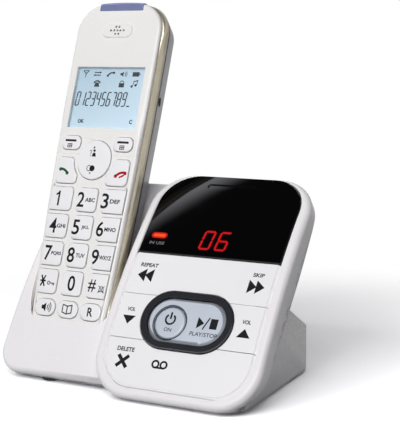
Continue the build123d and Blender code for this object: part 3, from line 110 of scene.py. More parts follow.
# figures: the first one's middle, their pitch, each one's size and its stroke; red ones in the
# panel's u and t, dark ones in the face's x and z
MESSAGES, MESSAGES_STROKE, HAZE_STROKE = ((32.0, 70.6), 7.6, (4.6, 9.0)), 0.95, 2.0
DIALLED, DIALLED_STROKE = ((-16.5, 14.5), 2.82, (1.75, 6.5)), 0.6
FIGURES_LEAN = 0.10
LAMP_AT = (7.9, 71.2)

# status signs of the handset's display and rows and columns of its keypad, in the face's x and z
STATUS_ROWS = (26.7, 22.0)
FIRST_ROW, ROW_PITCH, LOWER_ROW = -34.2, 12.94, -84.9
KEY_ROWS = FIRST_ROW - ROW_PITCH * np.arange(4)
DIGIT_COLUMNS = (-15.6, -3.1, 9.9)
LETTER_COLUMNS = (-11.2, 1.9, 15.2)
DIGIT_WEIGHT = 0.015

# a surface that turns by more than this many degrees keeps a sharp edge
EDGE, FINE_EDGE, ROUND_EDGE = 32.0, 20.0, 50.0
MERGE_DISTANCE = 2e-6       # metres

# studio, in metres and degrees: each lamp's place, the height that it aims at, its size and the
# setting that holds its power
LAMPS = {
    "key_lamp": ((-0.12, -1.28, 0.78), 0.06, 0.8, "key_power"),
    "cradle_lamp": ((0.40, -0.72, 0.90), 0.07, 0.5, "cradle_power"),
    "overhead_lamp": ((-0.54, -0.02, 0.92), 0.06, 0.6, "overhead_power"),
}
FLOOR_REACH = 3.0
CARD_CORNER = np.array([-0.535, -0.3075, 0.9])
CARD_ALONG = np.array([0.496, 0.868, 0.0])
CARD_ENDS, CARD_WIDTH = (-0.3, 0.8), 0.3
CAMERA_AT = (0.263433, -0.459877, 0.147690)
CAMERA_TURN, CAMERA_TILT, CAMERA_ROLL = 28.0003, 8.2288, 0.0232


def face_origin():
    """Foot of the display on the handset's face: the lens's lowest front corner, moved out by
    its depth and down by its clearance along the leaning axes."""
    low_y, low_z = DISPLAY[0, 1], DISPLAY[0, 2]
    c, s = math.cos(LEAN), math.sin(LEAN)
    y = low_y - LENS_DEPTH * c - LENS_CLEAR * s
    z = low_z + (LENS_DEPTH + LENS_THICK) * s - LENS_CLEAR * c
    return np.array([HANDSET_X, y, z])


FACE_ORIGIN = face_origin()


# ---- placing
def on_panel(points):
    """(u, t, h) to the panel: y = axis - (R + h) sin a, z = axis + (R + h) cos a, where a is the
    slope at the foot less t over R; u runs across from the key field's left edge."""
    u, t, h = points.T
    angle = PANEL_SLOPE - t / PANEL_RADIUS
    radius = PANEL_RADIUS + h
    return np.stack([FIELD_LEFT + u, AXIS_Y - radius * np.sin(angle),
                     AXIS_Z + radius * np.cos(angle)], axis=1)


def on_oval(points):
    """(u, t, h) to the flat top of the oval keys: the plane that touches the panel at the oval's
    centre, raised by how far the keys stand proud."""
    centre = on_panel(np.array([[*OVAL_CENTRE, OVAL_KEY_PROUD]]))[0]
    angle = PANEL_SLOPE - OVAL_CENTRE[1] / PANEL_RADIUS
    across = points[:, 0] - OVAL_CENTRE[0]
    up = points[:, 1] - OVAL_CENTRE[1]
    lift = points[:, 2]
    return centre + np.stack([across, up * math.cos(angle) - lift * math.sin(angle),
                              up * math.sin(angle) + lift * math.cos(angle)], axis=1)


def on_face(height):
    """Gives the map from (x, z, h) to the handset's face raised by this height: a turn by the
    lean about the level axis through the display's foot."""
    c, s = math.cos(LEAN), math.sin(LEAN)

    def place(points):
        x, z, h = points.T
        out = h + height
        return FACE_ORIGIN + np.stack([x, z * s - out * c, z * c + out * s], axis=1)
    return place


# ---- shapes in a flat mark
def prism(loop, high=PRINT_HIGH):
    """Thin solid of a flat outline: the loop at two heights, joined by a wall. A loop that runs
    clockwise is turned round first, by the sign of the sum of x1 y2 - x2 y1."""
    loop = np.asarray(loop, float)
    after = np.roll(loop, -1, axis=0)
    if (loop[:, 0] * after[:, 1] - after[:, 0] * loop[:, 1]).sum() < 0:
        loop = loop[::-1]
    n = len(loop)
    top = np.column_stack([loop, np.full(n, high)])
    foot = np.column_stack([loop, np.full(n, PRINT_LOW)])
    ring = np.arange(n)
    following = np.roll(ring, -1)
    walls = np.column_stack([ring + n, following + n, following, ring]).tolist()
    return np.vstack([top, foot]), [ring.tolist(), (ring[::-1] + n).tolist()] + walls


def join(shapes):
    """One shape from several: points stacked, face numbers moved on by the points before."""
    points, faces, start = [], [], 0
    for piece_points, piece_faces in shapes:
        points.append(piece_points)
        faces += [[i + start for i in face] for face in piece_faces]
        start += len(piece_points)
    return np.vstack(points), faces


def moved(shape, x, y, turn):
    """Shape turned by an angle in degrees and shifted in its plane."""
    points, faces = shape
    c, s = math.cos(math.radians(turn)), math.sin(math.radians(turn))
    flat = points[:, :2] @ np.array([[c, s], [-s, c]]) + [x, y]
    return np.column_stack([flat, points[:, 2]]), faces


def arc(x, y, radius, start, end, steps=24):
    """Points on a circle: centre plus radius times cosine and sine of evenly spread angles."""
    angle = np.radians(np.linspace(start, end, steps))
    return np.column_stack([x + radius * np.cos(angle), y + radius * np.sin(angle)])


def arc_band(x, y, radius, width, start, end):
    """Curved bar: the outer arc, then the inner arc back."""
    outer = arc(x, y, radius + width / 2, start, end)
    inner = arc(x, y, radius - width / 2, end, start)
    return prism(np.vstack([outer, inner]))


def ring_mark(x, y, radius, width):
    """Whole ring as two half bands."""
    return join([arc_band(x, y, radius, width, 0, 180), arc_band(x, y, radius, width, 180, 360)])


def disc(x, y, radius):
    """Round dot of 24 sides."""
    return prism(arc(x, y, radius, 0, 345, 24))


def bar(x0, y0, x1, y1, width, rounded=True):
    """Straight stroke of even width; its ends are half circles or square."""
    turn = math.degrees(math.atan2(y1 - y0, x1 - x0))
    if rounded:
        far = arc(x1, y1, width / 2, turn - 90, turn + 90, 9)
        near = arc(x0, y0, width / 2, turn + 90, turn + 270, 9)
        return prism(np.vstack([far, near]))
    side = np.array([-(y1 - y0), x1 - x0]) / math.hypot(x1 - x0, y1 - y0) * width / 2
    ends = np.array([[x0, y0], [x1, y1]])
    return prism(np.vstack([ends - side, (ends + side)[::-1]]))


def plate(x0, y0, x1, y1):
    """Rectangle between two opposite corners."""
    return prism([(x0, y0), (x1, y0), (x1, y1), (x0, y1)])


def stadium(x, y, width, height, high=PRINT_HIGH):
    """Bar along x with half-circle ends."""
    reach, radius = (width - height) / 2, height / 2
    return prism(np.vstack([arc(x + reach, y, radius, -90, 90, 13),
                            arc(x - reach, y, radius, 90, 270, 13)]), high)


def read(items, name, width=1, kind=float):
    """One attribute of a mesh's items as an array, with a row for each item if it is wide."""
    values = np.empty(len(items) * width, kind)
    items.foreach_get(name, values)
    return values.reshape(-1, width) if width > 1 else values


def glyphs(words, x, y, width, height, weight=WORD_WEIGHT):
    """Letters as a thin solid, scaled so that their box has this width and height about (x, y).
    The letters become a mesh first, and their points are then mapped as one array."""
    curve = bpy.data.curves.new("letters", "FONT")
    curve.body = words
    curve.offset = weight
    curve.extrude = 0.5
    curve.resolution_u = 5
    holder = bpy.data.objects.new("letters", curve)
    mesh = bpy.data.meshes.new_from_object(holder)
    points = read(mesh.vertices, "co", 3)
    faces = [list(polygon.vertices) for polygon in mesh.polygons]
    bpy.data.objects.remove(holder)
    bpy.data.curves.remove(curve)
    bpy.data.meshes.remove(mesh)
    low, high = points[:, :2].min(axis=0), points[:, :2].max(axis=0)
    flat = (points[:, :2] - (low + high) / 2) / (high - low) * [width, height] + [x, y]
    lift = np.where(points[:, 2] > 0, PRINT_HIGH, PRINT_LOW)
    return np.column_stack([flat, lift]), faces


# a digit's lit bars; each bar keeps a gap to the corners and has pointed tips, both in strokes
SEGMENT_GAP, SEGMENT_TIP = 0.08, 0.3
SEGMENTS = {"0": "abcdef", "1": "bc", "2": "abged", "3": "abgcd", "4": "fgbc", "5": "afgcd",
            "6": "afgcde", "7": "abc", "8": "abcdefg", "9": "abcdfg", "_": "d"}


def seven_segment(digit, x, y, width, height, stroke, high=PRINT_HIGH):
    """Digit of up to seven six-sided bars. A bar runs between two of the digit's six corners,
    shortened at both ends, and the whole leans by a share of the height above its middle."""
    w, h = width / 2, height / 2
    ends = {"a": ((-w, h), (w, h)), "b": ((w, h), (w, 0)), "c": ((w, 0), (w, -h)),
            "d": ((-w, -h), (w, -h)), "e": ((-w, 0), (-w, -h)), "f": ((-w, h), (-w, 0)),
            "g": ((-w, 0), (w, 0))}
    shapes = []
    for name in SEGMENTS[digit]:
        (x0, y0), (x1, y1) = ends[name]
        along = np.array([x1 - x0, y1 - y0])
        along = along / np.hypot(*along)
        side = np.array([-along[1], along[0]]) * stroke / 2
        start = np.array([x0, y0]) + along * stroke * SEGMENT_GAP
        end = np.array([x1, y1]) - along * stroke * SEGMENT_GAP
        tip = along * stroke * SEGMENT_TIP
        loop = np.array([start, start + tip + side, end - tip + side, end,
                         end - tip - side, start + tip - side])
        loop[:, 0] += loop[:, 1] * FIGURES_LEAN
        shapes.append(prism(loop + [x, y], high))
    return join(shapes)


def figures(digits, first, pitch, size, stroke, high=PRINT_HIGH):
    """Row of seven-segment digits from the first one's middle."""
    return join([seven_segment(digit, first[0] + pitch * i, first[1], *size, stroke, high)
                 for i, digit in enumerate(digits)])


# ---- writing pieces
def new_object(name, data):
    """New object in the scene."""
    made = bpy.data.objects.new(name, data)
    bpy.context.scene.collection.objects.link(made)
    return made


def write_piece(name, shape, place, finish, body):
    """New object from a shape in millimetres, placed on its surface and riding on its body."""
    points, faces = shape
    mesh = bpy.data.meshes.new(name)
    mesh.from_pydata((place(points) * MM).tolist(), [], faces)
    mesh.update()
    piece = new_object(name, mesh)
    mesh.materials.append(FINISHES[finish])
    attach(piece, body)


def arc_normals(points, flat, smooth):
    """Shading normals of the curved panel: straight out from its axis on each outward triangle
    whose corners are equally far from it, and the smooth normal elsewhere."""
    radial = points - [0, AXIS_Y, AXIS_Z]
    radial[:, 0] = 0
    reach = np.linalg.norm(radial, axis=1, keepdims=True)
    radial /= reach
    level = np.ptp(reach.reshape(-1, 3), axis=1) < 0.03
    outward = (radial * flat).sum(axis=1) > 0.9
    return np.where((np.repeat(level, 3) & outward)[:, None], radial, smooth)


def band_normals(points, flat, smooth):
    """Shading normals of a gently barrelled band: the smooth normal leans towards the face at
    the band's front edge and away from it at its back edge, evenly with depth."""
    out = np.array([0, -math.cos(LEAN), math.sin(LEAN)])
    depth = -(points - FACE_ORIGIN) @ out
    side = np.abs(flat @ out) < 0.5
    bend = np.interp(depth, BAND_DEPTHS, BAND_BEND)
    turned = smooth + bend[:, None] * out
    turned /= np.linalg.norm(turned, axis=1, keepdims=True)
    return np.where(side[:, None], turned, smooth)


def set_normals(mesh, rule):
    """Writes a rule's normals for every face corner."""
    index = read(mesh.loops, "vertex_index", kind=int)
    sides = read(mesh.polygons, "loop_total", kind=int)
    points = read(mesh.vertices, "co", 3)[index] / MM
    flat = np.repeat(read(mesh.polygons, "normal", 3), sides, axis=0)
    normals = rule(points, flat, read(mesh.corner_normals, "vector", 3))
    mesh.normals_split_custom_set(normals.tolist())


def smooth_copy(node, finish, sharp=EDGE, rule=None):
    """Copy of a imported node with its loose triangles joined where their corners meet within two
    microns, and its shading rounded wherever the surface turns by less than the sharp angle. A
    rule may give the shading normals; without one, larger facets count for more."""
    source = frame["nodes"][node]
    mesh = source.data.copy()
    mesh.name = node + "_skin"
    work = bmesh.new()
    work.from_mesh(mesh)
    bmesh.ops.remove_doubles(work, verts=work.verts, dist=MERGE_DISTANCE)
    work.to_mesh(mesh)
    work.free()
    mesh.polygons.foreach_set("use_smooth", np.ones(len(mesh.polygons), bool))
    mesh.set_sharp_from_angle(angle=math.radians(sharp))
    mesh.materials.clear()
    mesh.materials.append(FINISHES[finish])
    piece = new_object(node + "_skin", mesh)
    if rule:
        set_normals(mesh, rule)
    else:
        even = piece.modifiers.new("Even shading", "WEIGHTED_NORMAL")
        even.keep_sharp = True
        even.weight = 80
    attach(piece, BODY_OF[node])
    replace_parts(piece, node)


def refinish(node, finish):
    """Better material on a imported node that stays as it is."""
    piece = frame["nodes"][node]
    piece.data.materials.clear()
    piece.data.materials.append(FINISHES[finish])


# ---- materials
def linear(colour):
    """sRGB hex to linear: c / 12.92 up to 0.04045, and ((c + 0.055) / 1.055) ** 2.4 above."""
    parts = np.array([int(colour[i:i + 2], 16) / 255 for i in (1, 3, 5)])
    parts = np.where(parts <= 0.04045, parts / 12.92, ((parts + 0.055) / 1.055) ** 2.4)
    return (*parts.tolist(), 1.0)


def add(tree, kind, links=None, **settings):
    """Adds a shader node. Settings are its own attributes, and links its inputs' values or
    sources: a hex text is a colour, and a node stands for the output that its settings use."""
    node = tree.nodes.new("ShaderNode" + kind)
    for name, value in settings.items():
        setattr(node, name, value)
    for key, value in (links or {}).items():
        if isinstance(value, bpy.types.Node):
            value = next(output for output in value.outputs if output.enabled)
        if isinstance(value, bpy.types.NodeSocket):
            tree.links.new(value, node.inputs[key])
        else:
            node.inputs[key].default_value = linear(value) if isinstance(value, str) else value
    return node


def new_tree(name):
    """Empty material with its tree."""
    material = bpy.data.materials.new(name)
    material.use_nodes = True
    material.node_tree.nodes.clear()
    return material, material.node_tree


def along_face(tree, place, axis):
    """How far a point lies from the foot of the handset's display along an axis."""
    away = add(tree, "VectorMath", {0: place, 1: FACE_ORIGIN * MM}, operation="SUBTRACT")
    return add(tree, "VectorMath", {0: away, 1: axis}, operation="DOT_PRODUCT")


def moulding(name, light, dark, smooth, dull, cloud_mm, grain_mm, relief_mm, **shader):
    """Even man-made surface. Its colour drifts between two tones over the cloud size, its
    roughness between two values over the grain size, and the grain stands up by the relief."""
    material, tree = new_tree(name)
    place = add(tree, "TexCoord").outputs["Object"]
    cloud = add(tree, "TexNoise", {"Vector": place, "Scale": 1000 / cloud_mm, "Detail": 3.0})
    grain = add(tree, "TexNoise", {"Vector": place, "Scale": 1000 / grain_mm, "Detail": 4.0})
    tone = add(tree, "Mix", {0: cloud, 6: light, 7: dark}, data_type="RGBA")
    gloss = add(tree, "MapRange", {0: grain, 1: GRAIN_LOW, 2: GRAIN_HIGH, 3: smooth, 4: dull})
    bump = add(tree, "Bump", {"Height": grain, "Strength": 0.6, "Distance": relief_mm * MM})
    values = {"Base Color": tone, "Roughness": gloss, "Normal": bump}
    values.update({key.replace("_", " "): value for key, value in shader.items()})
    add(tree, "OutputMaterial", {"Surface": add(tree, "BsdfPrincipled", values)})
    return material


FINISHES = {}
SMOOTHLY = {"interpolation_type": "SMOOTHSTEP"}
GRAIN_LOW, GRAIN_HIGH = 0.3, 0.7    # most of a noise's values lie between these
# two roughnesses, and in millimetres the size of the cloud and grain and the relief's height
POLISHED = (0.24, 0.28, 40, 1.2, 0.0015)
PRINTED = (0.5, 0.6, 3, 0.2, 0.001)
INKS = {
    "ink_black": ("#0A0A0D", "#101014"), "ink_dark_grey": ("#1A1B20", "#22232A"),
    "ink_pale_grey": ("#8C8E90", "#7C7E80"), "ink_green": ("#0B5530", "#0F6238"),
    "ink_red": ("#A80E24", "#BA162E"),
}


def make_finishes(look):
    """Every material of the object, by the record's slot or by a name of its own."""
    FINISHES.update({
        # glossy moulded ABS: near white, with a soft sheen and the faint waviness of polishing
        "white_gloss": moulding(
            "abs_gloss_white", look.shell_light, look.shell_dark, *POLISHED,
            IOR=1.53, Specular_IOR_Level=0.3),
        # the handset's face: the same gloss in a slightly warmer, greyer white
        "white_face": moulding(
            "abs_gloss_warm_white", look.face_light, look.face_dark, *POLISHED,
            IOR=1.53, Specular_IOR_Level=0.35),
        # satin key caps: the same white with a finer, drier surface
        "white_key": moulding(
            "abs_satin_key", look.key_light, look.key_dark, 0.32, 0.38, 30, 0.9, 0.0015, IOR=1.5),
        "grey_shell": dark_edged_lacquer(),
        # champagne metallic paint on the side band, fine flakes that break up the highlight
        "champagne_band": moulding(
            "paint_champagne_metallic", "#CFC8B6", "#BDB49E", 0.26, 0.38, 5, 0.35, 0.002, Metallic=0.7),
        # polished smoked acrylic: almost black and mirror-smooth
        "black_window": moulding(
            "acrylic_smoked", "#060607", "#040405", 0.03, 0.05, 50, 6.0, 0.0005, IOR=1.49),
        # dark chrome plating on the oval ring: a smoky mirror with soft waviness
        "dark_chrome": moulding(
            "chrome_dark_plated", "#4A4B50", "#3E3F44", 0.12, 0.18, 20, 2.5, 0.002, Metallic=0.6),
        # satin silver lacquer with a blue cast on the oval keys
        "silver_key": moulding(
            "lacquer_silver_blue", "#BCC3CD", "#B2B9C4", 0.44, 0.52, 14, 0.5, 0.002, Metallic=0.45),
        # clear display lens, only its gloss shows
        "lens_clear": moulding(
            "polycarbonate_clear", "#EAF2F8", "#E2ECF4", 0.04, 0.06, 30, 5.0, 0.001, Alpha=0.04, IOR=1.4),
        # translucent lavender lamp lens, cloudy inside with a polished skin
        "lamp_lens": moulding(
            "polycarbonate_lavender", "#7C84B0", "#7078A4", 0.18, 0.26, 6, 1.2, 0.002,
            Subsurface_Weight=0.3, Subsurface_Scale=0.002, IOR=1.58),
        # red diffusing epoxy of the LED housing, and the red acrylic light pipe beside it
        "led_red": moulding("epoxy_red_diffused", "#A01010", "#7C0808", 0.3, 0.4, 5, 0.6, 0.002),
        "pipe_red": moulding("acrylic_red_pipe", "#F0401C", "#D83010", 0.15, 0.2, 5, 0.8, 0.001),
        # soft black rubber of feet and spacer ring, dry and slightly grainy
        "black_rubber": moulding("rubber_black", "#161617", "#0E0E0F", 0.62, 0.78, 8, 0.6, 0.02),
        # grey silicone of the key mats, dusty and matt
        "grey_rubber": moulding("silicone_grey", "#7C7D80", "#6D6E72", 0.55, 0.68, 10, 0.7, 0.01),
        # green solder resist, glossy over a fine weave
        "board_green": moulding("solder_resist_green", "#12502C", "#0D4023", 0.25, 0.4, 9, 0.5, 0.006),
        # glass-filled black nylon of sockets and speakers, matt with a fine grain
        "black_plastic": moulding(
            "nylon_black_grained", "#1B1B1D", "#131315", 0.5, 0.65, 10, 0.4, 0.01),
        # nickel-gold plating of the contacts, bright with light rub marks
        "contact_metal": moulding(
            "plated_contact", "#D8C58A", "#C4AF72", 0.18, 0.32, 4, 0.3, 0.002, Metallic=1.0),
        # zinc-plated steel of the screws
        "steel": moulding(
            "steel_zinc_plated", "#B4B5B8", "#9C9DA2", 0.25, 0.42, 3, 0.3, 0.004, Metallic=1.0),
        # printed sleeve of the cells
        "cell_wrap": moulding("cell_sleeve_green", "#1F6B3B", "#185A31", 0.22, 0.3, 20, 1.0, 0.002),
        # dark liquid crystal of the display's figures
        "lcd_segment": moulding(
            "liquid_crystal_dark", "#0A1420", "#101C2A", 0.6, 0.7, 3, 0.3, 0.001, Specular_IOR_Level=0.1),
        "lcd_blue": lit_display(look),
        "led_lit": lit_lamp("led_segment_lit", "#E81218", "#CC0A10", 0.8),
        "pipe_lit": lit_lamp("light_pipe_lit", "#FF6420", "#F8400E", 1.0),
        "led_glow": glow_film(),
    })
    # pad-printed inks: slightly raised, drier than the plastic under them
    for ink, tones in INKS.items():
        FINISHES[ink] = moulding(ink, *tones, *PRINTED, Specular_IOR_Level=0.15)


def dark_edged_lacquer():
    """Silver-grey lacquer of the handset's back, smooth with a fine metallic cloud. Its front
    edge is coloured near black up to a depth behind the handset's face, then fades to the grey."""
    material, tree = new_tree("lacquer_silver_grey_trimmed")
    place = add(tree, "TexCoord").outputs["Object"]
    depth = along_face(tree, place, (0.0, math.cos(LEAN), -math.sin(LEAN)))
    front, behind = DARK_EDGE_DEPTHS
    back = add(tree, "MapRange", {0: depth, 1: front * MM, 2: behind * MM, 3: 0.0, 4: 1.0})
    cloud = add(tree, "TexNoise", {"Vector": place, "Scale": 1000 / 12, "Detail": 3.0})
    grain = add(tree, "TexNoise", {"Vector": place, "Scale": 1000 / 0.5, "Detail": 4.0})
    grey = add(tree, "Mix", {0: cloud, 6: "#86868A", 7: "#7A7A7E"}, data_type="RGBA")
    # near black in front of the first depth, fading to the grey lacquer by the second
    tone = add(tree, "Mix", {0: back, 6: "#141415", 7: grey}, data_type="RGBA")
    gloss = add(tree, "MapRange", {0: grain, 1: GRAIN_LOW, 2: GRAIN_HIGH, 3: 0.30, 4: 0.38})
    bump = add(tree, "Bump", {"Height": grain, "Strength": 0.5, "Distance": 2e-6})
    surface = add(tree, "BsdfPrincipled", {
        "Base Color": tone, "Metallic": 0.3, "Roughness": gloss, "Normal": bump})
    add(tree, "OutputMaterial", {"Surface": surface})
    return material


def lit_display(look):
    """Backlit display film: light blue, brighter towards its lower right corner by a ramp along
    that diagonal, with a fine pixel grain."""
    material, tree = new_tree("display_backlit_blue")
    place = add(tree, "TexCoord").outputs["Object"]
    diagonal = along_face(tree, place, (-0.45, 0.0, 1.0))
    rise = add(tree, "MapRange", {0: diagonal, 1: -8 * MM, 2: 32 * MM, 3: 0.0, 4: 1.0})
    grain = add(tree, "TexNoise", {"Vector": place, "Scale": 1000 / 0.6, "Detail": 2.0})
    tone = add(tree, "Mix", {0: rise, 6: look.display_low, 7: look.display_high},
               data_type="RGBA")
    speck = add(tree, "Mix", {0: grain, 6: tone, 7: "#B4D0E4"}, data_type="RGBA")
    faint = add(tree, "Mix", {0: 0.12, 6: tone, 7: speck}, data_type="RGBA")
    bump = add(tree, "Bump", {"Height": grain, "Strength": 0.3, "Distance": 2e-6})
    surface = add(tree, "BsdfPrincipled", {
        "Base Color": faint, "Roughness": 0.35, "Normal": bump,
        "Emission Color": faint, "Emission Strength": 0.06})
    add(tree, "OutputMaterial", {"Surface": surface})
    return material


def lit_lamp(name, bright, deep, strength):
    """Lit plastic: glowing colour between two tones over a millimetre or so."""
    material, tree = new_tree(name)
    place = add(tree, "TexCoord").outputs["Object"]
    cloud = add(tree, "TexNoise", {"Vector": place, "Scale": 1000 / 1.4, "Detail": 2.0})
    tone = add(tree, "Mix", {0: cloud, 6: bright, 7: deep}, data_type="RGBA")
    gloss = add(tree, "MapRange", {0: cloud, 1: GRAIN_LOW, 2: GRAIN_HIGH, 3: 0.25, 4: 0.35})
    surface = add(tree, "BsdfPrincipled", {
        "Base Color": "#300404", "Roughness": gloss, "Specular IOR Level": 0.1,
        "Emission Color": tone, "Emission Strength": strength})
    add(tree, "OutputMaterial", {"Surface": surface})
    return material


def glow_film():
    """Faint red haze round the lit figures, where the smoked acrylic scatters their light."""
    material, tree = new_tree("acrylic_red_haze")
    place = add(tree, "TexCoord").outputs["Object"]
    cloud = add(tree, "TexNoise", {"Vector": place, "Scale": 1000 / 3, "Detail": 2.0})
    tone = add(tree, "Mix", {0: cloud, 6: "#2A0303", 7: "#1C0202"}, data_type="RGBA")
    surface = add(tree, "BsdfPrincipled", {
        "Base Color": "#0A0202", "Roughness": 0.05, "Emission Color": tone, "Emission Strength": 1.0})
    add(tree, "OutputMaterial", {"Surface": surface})
    return material


# ---- sizes and colours
def text(name, description, default):
    """Setting that holds a text."""
    return bpy.props.StringProperty(name=name, description=description, default=default)


def number(name, description, default, **kind):
    """Setting that holds a number."""
    return bpy.props.FloatProperty(name=name, description=description, default=default, **kind)


class MachineLook(bpy.types.PropertyGroup):
    """Colours of the mouldings and the display."""
    shell_light: text("Shell, light", "Lighter tone of the glossy shells", "#F3F1F3")
    shell_dark: text("Shell, dark", "Darker tone of the glossy shells", "#EFECEE")
    face_light: text("Handset face, light", "Lighter tone of the handset's face", "#F2F1EF")
    face_dark: text("Handset face, dark", "Darker tone of the handset's face", "#EDECEA")
    key_light: text("Keys, light", "Lighter tone of the white keys", "#F3F2F4")
    key_dark: text("Keys, dark", "Darker tone of the white keys", "#EEEDF0")
    display_high: text("Display, top", "Display colour at its upper edge", "#B0C9D9")
    display_low: text("Display, foot", "Display colour at its lower edge", "#D2E9F8")


class MachinePrint(bpy.types.PropertyGroup):
    """Sizes of the keypad's print, and what the displays show."""
    digit_width: number("Digit width", "Width of a key's digit, in millimetres", 3.8)
    digit_height: number("Digit height", "Height of a key's digit, in millimetres", 7.0)
    letter_height: number("Letter height", "Height of a key's letters, in millimetres", 1.9)
    messages: text("Messages", "Two digits that the red display shows", "06")
    dialled: text("Dialled", "Figures in the handset's display", "0123456789_")


class StudioLook(bpy.types.PropertyGroup):
    """Camera, lamps, world and floor."""
    lens: number("Lens", "Focal length of the camera, in millimetres", 97.74)
    key_power: number("Key light", "Power of the large soft lamp", 13.0, subtype="POWER")
    cradle_power: number("Cradle light", "Power of the lamp over the right side", 3.8, subtype="POWER")
    overhead_power: number("Overhead light", "Power of the softbox above on the left", 0.8,
                           subtype="POWER")
    ambient: number("Ambient", "Strength of the light from all round", 0.10)
    wall: number("Wall", "Brightness of the pale wall behind the object", 0.62)
    card_glow: number("Card glow", "Brightness of the card mirrored in the window", 2.6)
    floor_lift: number("Floor lift", "Brightness that the floor's shadow keeps", 0.01)


SETTINGS = {"machine_look": MachineLook, "machine_print": MachinePrint, "studio_look": StudioLook}


# ---- operators
class BaseShells(bpy.types.Operator):
    """Smooth mouldings of the base: front shell, rear shell and feet"""
    bl_idname = "answering.base_shells"
    bl_label = "Base shells"

    def execute(self, context):
        smooth_copy("base_front_shell", "white_gloss", rule=arc_normals)
        smooth_copy("base_rear_shell", "white_gloss")
        smooth_copy("rubber_feet", "black_rubber")
        return {"FINISHED"}


class BaseKeys(bpy.types.Operator):
    """White keys of the answering panel"""
    bl_idname = "answering.base_keys"
    bl_label = "Panel keys"

    def execute(self, context):
        for node in ("repeat_skip_key", "delete_key", "volume_down_key", "volume_up_key"):
            smooth_copy(node, "white_key", FINE_EDGE, arc_normals)
        return {"FINISHED"}


class OvalControl(bpy.types.Operator):
    """Dark plated ring with the silver keys inside it"""
    bl_idname = "answering.oval_control"
    bl_label = "Oval control"

    def execute(self, context):
        smooth_copy("play_bezel_ring", "dark_chrome")
        for node in ("play_stop_key", "answer_on_key"):
            smooth_copy(node, "silver_key", FINE_EDGE)
        return {"FINISHED"}


class DisplayWindow(bpy.types.Operator):
    """Smoked window with its lit figures and its lamp"""
    bl_idname = "answering.display_window"
    bl_label = "Display window"

    def execute(self, context):
        shown = context.scene.machine_print.messages
        smooth_copy("display_window", "black_window", FINE_EDGE, arc_normals)
        for name, shape, finish, slot in (
                ("message_figures", figures(shown, *MESSAGES, MESSAGES_STROKE), "led_lit", "led_red"),
                ("message_haze", figures(shown, *MESSAGES, HAZE_STROKE, HAZE_HIGH), "led_glow",
                 "led_red"),
                ("in_use_lamp", stadium(*LAMP_AT, 7.8, 3.0), "led_lit", "pipe_red"),
                ("in_use_core", stadium(*LAMP_AT, 6.0, 1.5, CORE_HIGH), "pipe_lit", "pipe_red"),
                ("in_use_print", glyphs("IN USE", 8.0, 67.2, 7.4, 1.5, 0.0), "ink_pale_grey",
                 "white_key")):
            write_piece(name, shape, on_panel, finish, "base")
        return {"FINISHED"}


def wind_mark(x, y, turn):
    """Two triangles in a row, pointing along +x before the turn."""
    one = prism([(-3.8, -3.2), (0.2, 0.0), (-3.8, 3.2)])
    two = prism([(-0.2, -3.2), (3.8, 0.0), (-0.2, 3.2)])
    return moved(join([one, two]), x, y, turn)


class PanelPrint(bpy.types.Operator):
    """Printed signs on the keys of the answering panel: black pictograms and dark grey words"""
    bl_idname = "answering.panel_print"
    bl_label = "Panel print"

    def execute(self, context):
        signs = {
            ("repeat_skip_key", on_panel): [
                ("rewind_sign", wind_mark(8.2, 50.7, 180)),
                ("forward_sign", wind_mark(61.8, 50.2, 0)),
                ("repeat_word", glyphs("REPEAT", 8.7, 55.7, 8.6, 1.9)),
                ("skip_word", glyphs("SKIP", 61.5, 55.8, 5.2, 1.9))],
            ("volume_down_key", on_panel): [
                ("quieter_sign", prism([(3.9, 31.1), (10.2, 31.1), (7.05, 27.2)])),
                ("quieter_word", glyphs("VOL", 7.1, 34.1, 3.9, 1.8))],
            ("volume_up_key", on_panel): [
                ("louder_sign", prism([(59.1, 27.2), (65.3, 27.2), (62.2, 31.1)])),
                ("louder_word", glyphs("VOL", 62.2, 34.1, 3.9, 1.8))],
            ("delete_key", on_panel): [
                ("cross_sign", join([
                    bar(7.3, 8.2, 12.6, 13.2, 1.6, False), bar(7.5, 13.3, 12.4, 8.0, 1.6, False)])),
                ("delete_word", glyphs("DELETE", 10.2, 16.0, 8.4, 1.9)),
                ("tape_sign", join([
                    ring_mark(26.0, 11.2, 1.45, 0.85), ring_mark(29.9, 11.2, 1.45, 0.85),
                    bar(26.0, 9.75, 29.9, 9.75, 0.85, False)]))],
            ("answer_on_key", on_oval): [
                ("power_sign", join([arc_band(27.4, 31.3, 2.2, 0.85, 125, 415),
                                     bar(27.4, 31.4, 27.4, 34.5, 0.85, False)])),
                ("on_word", glyphs("ON", 27.4, 26.6, 3.6, 1.7, 0.01))],
            ("play_stop_key", on_oval): [
                ("round_key_outline", ring_mark(27.5, 29.8, 7.85, 0.4)),
                ("play_sign", join([
                    prism([(40.3, 28.6), (43.5, 31.2), (40.3, 33.8)]),
                    bar(43.3, 28.4, 45.6, 34.0, 0.55, False), plate(46.3, 29.0, 49.7, 33.6)])),
                ("play_word", glyphs("PLAY/STOP", 44.5, 26.2, 12.8, 1.8, 0.01))],
        }
        for (body, place), rows in signs.items():
            for name, shape in rows:
                ink = "ink_dark_grey" if name.endswith("_word") else "ink_black"
                write_piece(name, shape, place, ink, body)
        return {"FINISHED"}


class HandsetShells(bpy.types.Operator):
    """Mouldings of the handset: face, side band, spacer ring, back and battery door"""
    bl_idname = "answering.handset_shells"
    bl_label = "Handset shells"

    def execute(self, context):
        smooth_copy("handset_side_band", "champagne_band", ROUND_EDGE, band_normals)
        for node, finish in (
                ("handset_front_shell", "white_face"), ("handset_gasket", "black_rubber"),
                ("handset_rear_shell", "grey_shell"), ("battery_door", "grey_shell"),
                ("ring_lamp_lens", "lamp_lens")):
            smooth_copy(node, finish)
        return {"FINISHED"}


